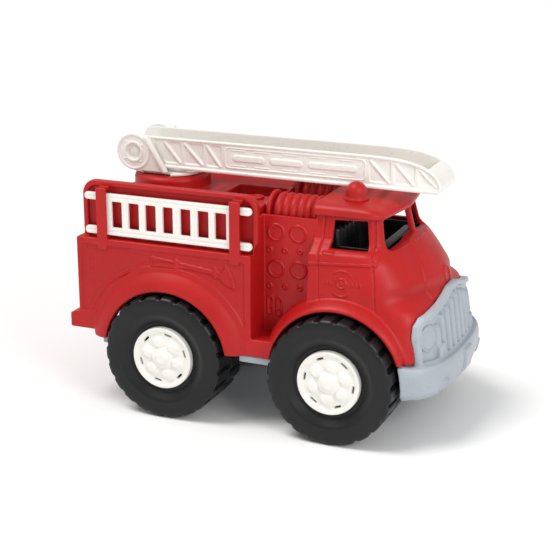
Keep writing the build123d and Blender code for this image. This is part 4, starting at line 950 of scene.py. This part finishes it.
# ------------------------------------------------------------------ turntable
def turntable_volume(h):
    V = Vol((-124.5, 0, 145.0), (-65.0, 24.0, 184.5), h, half=True)
    V.add(lambda x, y, z: rect(np.sqrt((x - XT) ** 2 + y ** 2), z, -30, 23.6, 155.7, 157.8, 0.7), (XT - 24, 0, 155), (XT + 24, 24, 158))
    V.add(lambda x, y, z: np.maximum(rect(np.sqrt((x - XT) ** 2 + y ** 2), z, -30, 9.0, 146.0, 157.0), 6.0 - np.sqrt((x - XT) ** 2 + y ** 2)), (XT - 10, 0, 145), (XT + 10, 10, 157), 0.3)

    def ear(x, y, z):
        web = poly(x, z, [(-116.0, 159.9), (-108.0, 157.2), (-84.2, 157.2), (-84.6, 159.0), (-97.8, 181.6), (-100.6, 182.2), (-110.0, 183.0)])
        d = np.minimum(web, circ(x, z, XP, ZP, 12.85))
        return ext(d, y, 18.0, 20.6, 0.5)
    V.add(ear, (-124, 17, 156), (-82, 22, 184.2), 0.4)
    # boss rim, recess round the pin
    V.add(lambda x, y, z: ext(np.abs(circ(x, z, XP, ZP, 11.9)) - 0.9, y, 19.0, 21.2, 0.6), (-124, 18, 157), (-96, 22, 184.2), 0.4)
    V.add(lambda x, y, z: ext(np.abs(circ(x, z, XP, ZP, 6.6)) - 0.9, y, 19.0, 21.2, 0.5), (-118.6, 18, 162), (-101.4, 22, 180), 0.4)
    V.cut(lambda x, y, z: ext(circ(x, z, XP, ZP, 5.5), y, 18.9, 24.0), (-116, 18.9, 165), (-104, 23, 177), 0.2)
    # four small pips on the boss
    for a in (0.6, 2.2, 3.8, 5.4):
        px, pz = XP + 8.6 * math.cos(a), ZP + 8.6 * math.sin(a)
        V.add(lambda x, y, z: np.sqrt((x - px) ** 2 + (y - 20.5) ** 2 * 1.6 + (z - pz) ** 2) - 0.9, (px - 2, 19, pz - 2), (px + 2, 22, pz + 2), 0.3)
    # strut: a proud slanted bar down to the disc
    def strut(x, y, z):
        a, e = np.array([-99.4, 20.7, 181.2]), np.array([13.6, 0.0, -22.4])
        t = np.clip(((x - a[0]) * e[0] + (z - a[2]) * e[2]) / (e @ e), 0, 1)
        d = np.sqrt((x - a[0] - t * e[0]) ** 2 + (y - 20.7) ** 2 + (z - a[2] - t * e[2]) ** 2) - 2.05
        return np.maximum(d, z - 183.4)
    V.add(strut, (-102, 18, 156), (-83, 23, 184), 0.4)
    V.cut(lambda x, y, z: 155.8 - z + 0 * x, (-102, 18, 150), (-83, 24, 156))
    V.keep(lambda x, y, z: 146.0 - z + 0 * x)
    # the boom lies between the ears
    V.cut(lambda x, y, z: box(x, y, z, (-140, -50, 157.8), (-60, 18.0, 200.0)), (-130, 0, 157.8), (-60, 18, 185))
    return V


mould("turntable_moulding", turntable_volume(0.5), WHITE, "turntable", keep=0.5, nodes=["turntable"])
lo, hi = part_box("boom_pin")
pr, pl = (hi.z - lo.z) * 500.0 - 0.03, hi.y * 1000.0 - 0.9
lathe("boom_pin_rod", [(0, -pl), (pr - 1.0, -pl), (pr, -pl + 0.7), (pr, 0), (pr, pl - 0.7), (pr - 1.0, pl), (0, pl)], (XP, 0, ZP), axis="Y", n=48,
      material=WHITE, body="turntable", nodes=["boom_pin"])
lo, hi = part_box("turntable_clip")
lathe("turntable_clip_ring", [(9.05, lo.z * 1000), (11.6, lo.z * 1000), (12, lo.z * 1000 + 0.4), (12, hi.z * 1000 - 0.4), (11.6, hi.z * 1000), (9.05, hi.z * 1000), (9.05, lo.z * 1000)],
      (XT, 0, 0), n=48, material=WHITE, body="turntable", nodes=["turntable_clip"])


# ------------------------------------------------------------------ ladder boom
lo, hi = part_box("ladder_boom")
BW = hi.y * 1000.0
BZ0, BZ1 = lo.z * 1000.0, hi.z * 1000.0
BX1 = hi.x * 1000.0 - XC


BOOM_TOP = [(-98.0, 182.2), (62.0, 182.2), (78.0, 181.6), (89.0, 180.2), (97.4, 177.9), (103.4, 175.0), (107.4, 171.8), (109.8, 168.4), (110.9, 164.8), (110.8, 162.0)]


def boom_relief(x, z):
    """Outer faces of the boom: a rim round the edge, and a truss of uprights and slanted ribs."""
    xs, zs = np.array([p[0] for p in BOOM_TOP]), np.array([p[1] for p in BOOM_TOP])
    edge = line(x, z, BOOM_TOP)
    field = np.maximum(np.maximum(1.9 - edge, 162.2 - z), np.maximum(-96.0 - x, x - 110.0))
    r = -1.0 * ramp(field, 0.8)
    cells = ((-88.0, -75.4), (-72.6, -58.6), (-55.8, -45.0), (62.2, 76.2), (79.0, 92.8))
    for x0, x1 in cells:
        cell = rect(x, z, x0, x1, 164.6, 178.8 if x1 < 80 else 177.4, 1.6)
        rib = line(x, z, [(x0 - 0.5, 179.0), (x1 - 0.5, 164.4)]) - 1.0
        r = r - 0.75 * ramp(np.maximum(cell, -rib), 0.8) + 0.45 * ramp(np.maximum(rib, cell - 0.8), 0.9)
    tip = poly(x, z, [(95.4, 175.2), (99.6, 173.2), (104.6, 169.8), (107.4, 165.8), (107.6, 164.6), (95.4, 164.6)]) + 0.4
    rib = line(x, z, [(95.0, 175.8), (107.4, 164.2)]) - 0.9
    r = r - 0.75 * ramp(np.maximum(tip, -rib), 0.8) + 0.45 * ramp(np.maximum(rib, tip - 0.8), 0.9)
    # middle panel, with plain raised bars
    panel = rect(x, z, -42.0, 59.0, 164.8, 178.6, 3.2)
    r = r + 0.7 * ramp(np.abs(panel) - 0.45, 0.8)
    for x0, x1 in ((-36.0, -13.0), (-8.5, 14.5), (19.0, 53.0)):
        r = r + 0.7 * ramp(rect(x, z, x0, x1, 169.6, 173.8, 1.9), 0.8)
    for x0 in (-38.0, -20.0, 0.0, 20.0, 40.0):
        for zz in (166.4, 177.0):
            r = r + 0.45 * ramp(rect(x, z, x0, x0 + 11.0, zz - 0.4, zz + 0.4, 0.3), 0.7)
    return r


def boom_volume(h):
    V = Vol((-122.0, 0, BZ0 - 1), (BX1 + 1, BW + 0.5, BZ1 + 0.5), h, half=True)
    x, y, z = V.at()
    prof = [(XP, BZ0), (107.4, BZ0), (109.6, BZ0 + 0.6), (110.8, 162.0), (110.9, 164.8), (109.8, 168.4), (107.4, 171.8), (103.4, 175.0), (97.4, 177.9), (89.0, 180.2), (78.0, 181.6), (62.0, BZ1), (XP, BZ1)]
    d2 = np.minimum(poly(x, z, prof), circ(x, z, XP, ZP, 11.1))
    out = np.maximum(y - BW, y - (BW + boom_relief(x, z)))
    # a flange runs along the top edge and the foot
    a, b = d2 + 0.9, out + 0.9
    body = np.sqrt(np.maximum(a, 0) ** 2 + np.maximum(b, 0) ** 2) + np.minimum(np.maximum(a, b), 0) - 0.9
    inn = [(-140, BZ0 + 2.2), (105.6, BZ0 + 2.2), (107.6, 163.2), (107.6, 165.0), (106.4, 168.0), (103.4, 170.9), (99.0, 173.0), (112, 190), (-140, 190)]
    body = smax(body, -ext(poly(x, z, inn), y, -40, BW - 2.3), 0.6)
    V.v = np.broadcast_to(body, V.v.shape).astype(F).copy()
    V.cut(lambda x, y, z: box(x, y, z, (XP - 16, -30, BZ0 - 4), (XP + 8, BW - 2.2, BZ0 + 4)), (XP - 16, 0, BZ0 - 3), (XP + 8, BW, BZ0 + 4))
    for k in range(15):
        xk = -84 + 12.0 * k
        V.cut(lambda x, y, z: box(x, y, z, (xk - 4.0, -30, BZ0 - 6), (xk + 4.0, 11.0, BZ0 + 4), 1.0), (xk - 4, 0, BZ0 - 3), (xk + 4, 11, BZ0 + 4), 0.6)
    V.cut(lambda x, y, z: ext(circ(x, z, XP, ZP, 4.06), y, -40, 40), (XP - 5, 0, ZP - 5), (XP + 5, BW, ZP + 5))
    return V


mould("ladder_boom_moulding", boom_volume(0.5), WHITE, "boom", keep=0.5, nodes=["ladder_boom"])


# ------------------------------------------------------------------ side ladders
WINDOWS = ((-104.9, -97.1), (-92.2, -84.2), (-79.5, -71.5), (-66.4, -58.8), (-53.4, -45.8), (-40.7, -32.6), (-28.0, -19.8))
for s, side in SIDES:
    lo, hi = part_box("side_ladder_" + side)
    y0, y1 = sorted((abs(lo.y) * 1000.0, abs(hi.y) * 1000.0))
    V = Vol((lo.x * 1000 - XC, y0, lo.z * 1000), (hi.x * 1000 - XC, y1, hi.z * 1000), 0.45)

    def ladder(x, y, z):
        d = np.minimum(rect(x, z, -125.5, -1.7, 121.85, 127.4, 2.7), rect(x, z, -125.5, -1.7, 145.7, 150.9, 2.6))
        d = np.minimum(d, rect(x, z, -109.2, -15.4, 124, 148))
        for a, b in WINDOWS:
            d = np.maximum(d, -rect(x, z, a, b, 127.5, 145.6, 0.6))
        body = ext(d, y, y0, y1, 0.6)
        # a shallow line along each rail
        for zr in (124.6, 148.3):
            body = smax(body, -(np.sqrt((z - zr) ** 2 * 0.8 + (y - y1 - 0.35) ** 2) - 0.65), 0.3)
        return body
    V.add(ladder, (-126, y0, 121), (-1, y1, 152))
    P, Q, G = surface(V)
    if s < 0:
        P = P * [1, -1, 1]
        Q = Q[:, ::-1]
        G0 = G
        G = lambda X, G0=G0: G0(X * [1, -1, 1]) * [1, -1, 1]
    o = make_mesh("side_ladder_moulding_" + side, (P + [XC, 0, 0]) / 1000.0, Q)
    m = o.modifiers.new("lighter", "DECIMATE")
    m.ratio = 0.5
    dg = bpy.context.evaluated_depsgraph_get()
    me = bpy.data.meshes.new_from_object(o.evaluated_get(dg))
    old = o.data
    o.modifiers.clear()
    o.data = me
    bpy.data.meshes.remove(old)
    put_normals(o, G)
    o.data.materials.clear()
    o.data.materials.append(WHITE)
    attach(o, "ladder_" + side)
    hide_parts("side_ladder_" + side)


# ------------------------------------------------------------------ stage, light and camera
def plain(name, colour, rough):
    m = bpy.data.materials.new(name)
    m.use_nodes = True
    b = m.node_tree.nodes["Principled BSDF"]
    b.inputs["Base Color"].default_value = (*colour, 1)
    b.inputs["Roughness"].default_value = rough
    return m


bpy.ops.mesh.primitive_plane_add(size=30.0, location=(0, 0, 0))
floor = bpy.context.object
floor.name = "studio_floor"
floor.data.materials.append(plain("studio_floor_paper", (0.93, 0.93, 0.93), 0.9))


def area(name, loc, target, size, power, colour=(1, 1, 1)):
    d = bpy.data.lights.new(name, "AREA")
    d.shape = "RECTANGLE"
    d.size, d.size_y = size
    d.energy = power
    d.color = colour
    o = bpy.data.objects.new(name, d)
    bpy.context.scene.collection.objects.link(o)
    o.location = loc
    o.rotation_euler = (Vector(target) - Vector(loc)).to_track_quat("-Z", "Y").to_euler()
    return o


def sun(name, towards, strength, angle, colour=(1, 1, 1)):
    d = bpy.data.lights.new(name, "SUN")
    d.energy = strength
    d.angle = math.radians(angle)
    d.color = colour
    o = bpy.data.objects.new(name, d)
    bpy.context.scene.collection.objects.link(o)
    o.location = (0, 0, 2)
    o.rotation_euler = (-Vector(towards)).to_track_quat("-Z", "Y").to_euler()
    return o


sun("key", (-0.40, -0.28, 1.0), 1.75, 26.0, (1.0, 0.99, 0.97))
area("front", (1.15, -0.80, 0.80), (0.02, 0, 0.09), (0.6, 0.6), 8.6, (1.0, 0.995, 0.985))
w = bpy.data.worlds.new("studio")
bpy.context.scene.world = w
w.use_nodes = True
bg = w.node_tree.nodes["Background"]
bg.inputs["Color"].default_value = (1.0, 1.0, 1.0, 1)
bg.inputs["Strength"].default_value = 0.60

cam = bpy.data.cameras.new("camera")
cam.sensor_width = 36.0
cam.lens = 91.63
cam.clip_start = 0.05
cam.clip_end = 50
co = bpy.data.objects.new("camera", cam)
bpy.context.scene.collection.objects.link(co)
az, el = math.radians(22.765), math.radians(17.328)
back = Vector((math.sin(az) * math.cos(el), -math.cos(az) * math.cos(el), math.sin(el)))
co.location = ((350.86 + XC) / 1000.0, -0.86404, 0.37917)
co.rotation_euler = (-back).to_track_quat("-Z", "Y").to_euler()
bpy.context.scene.camera = co
bpy.context.scene.view_settings.view_transform = "Standard"
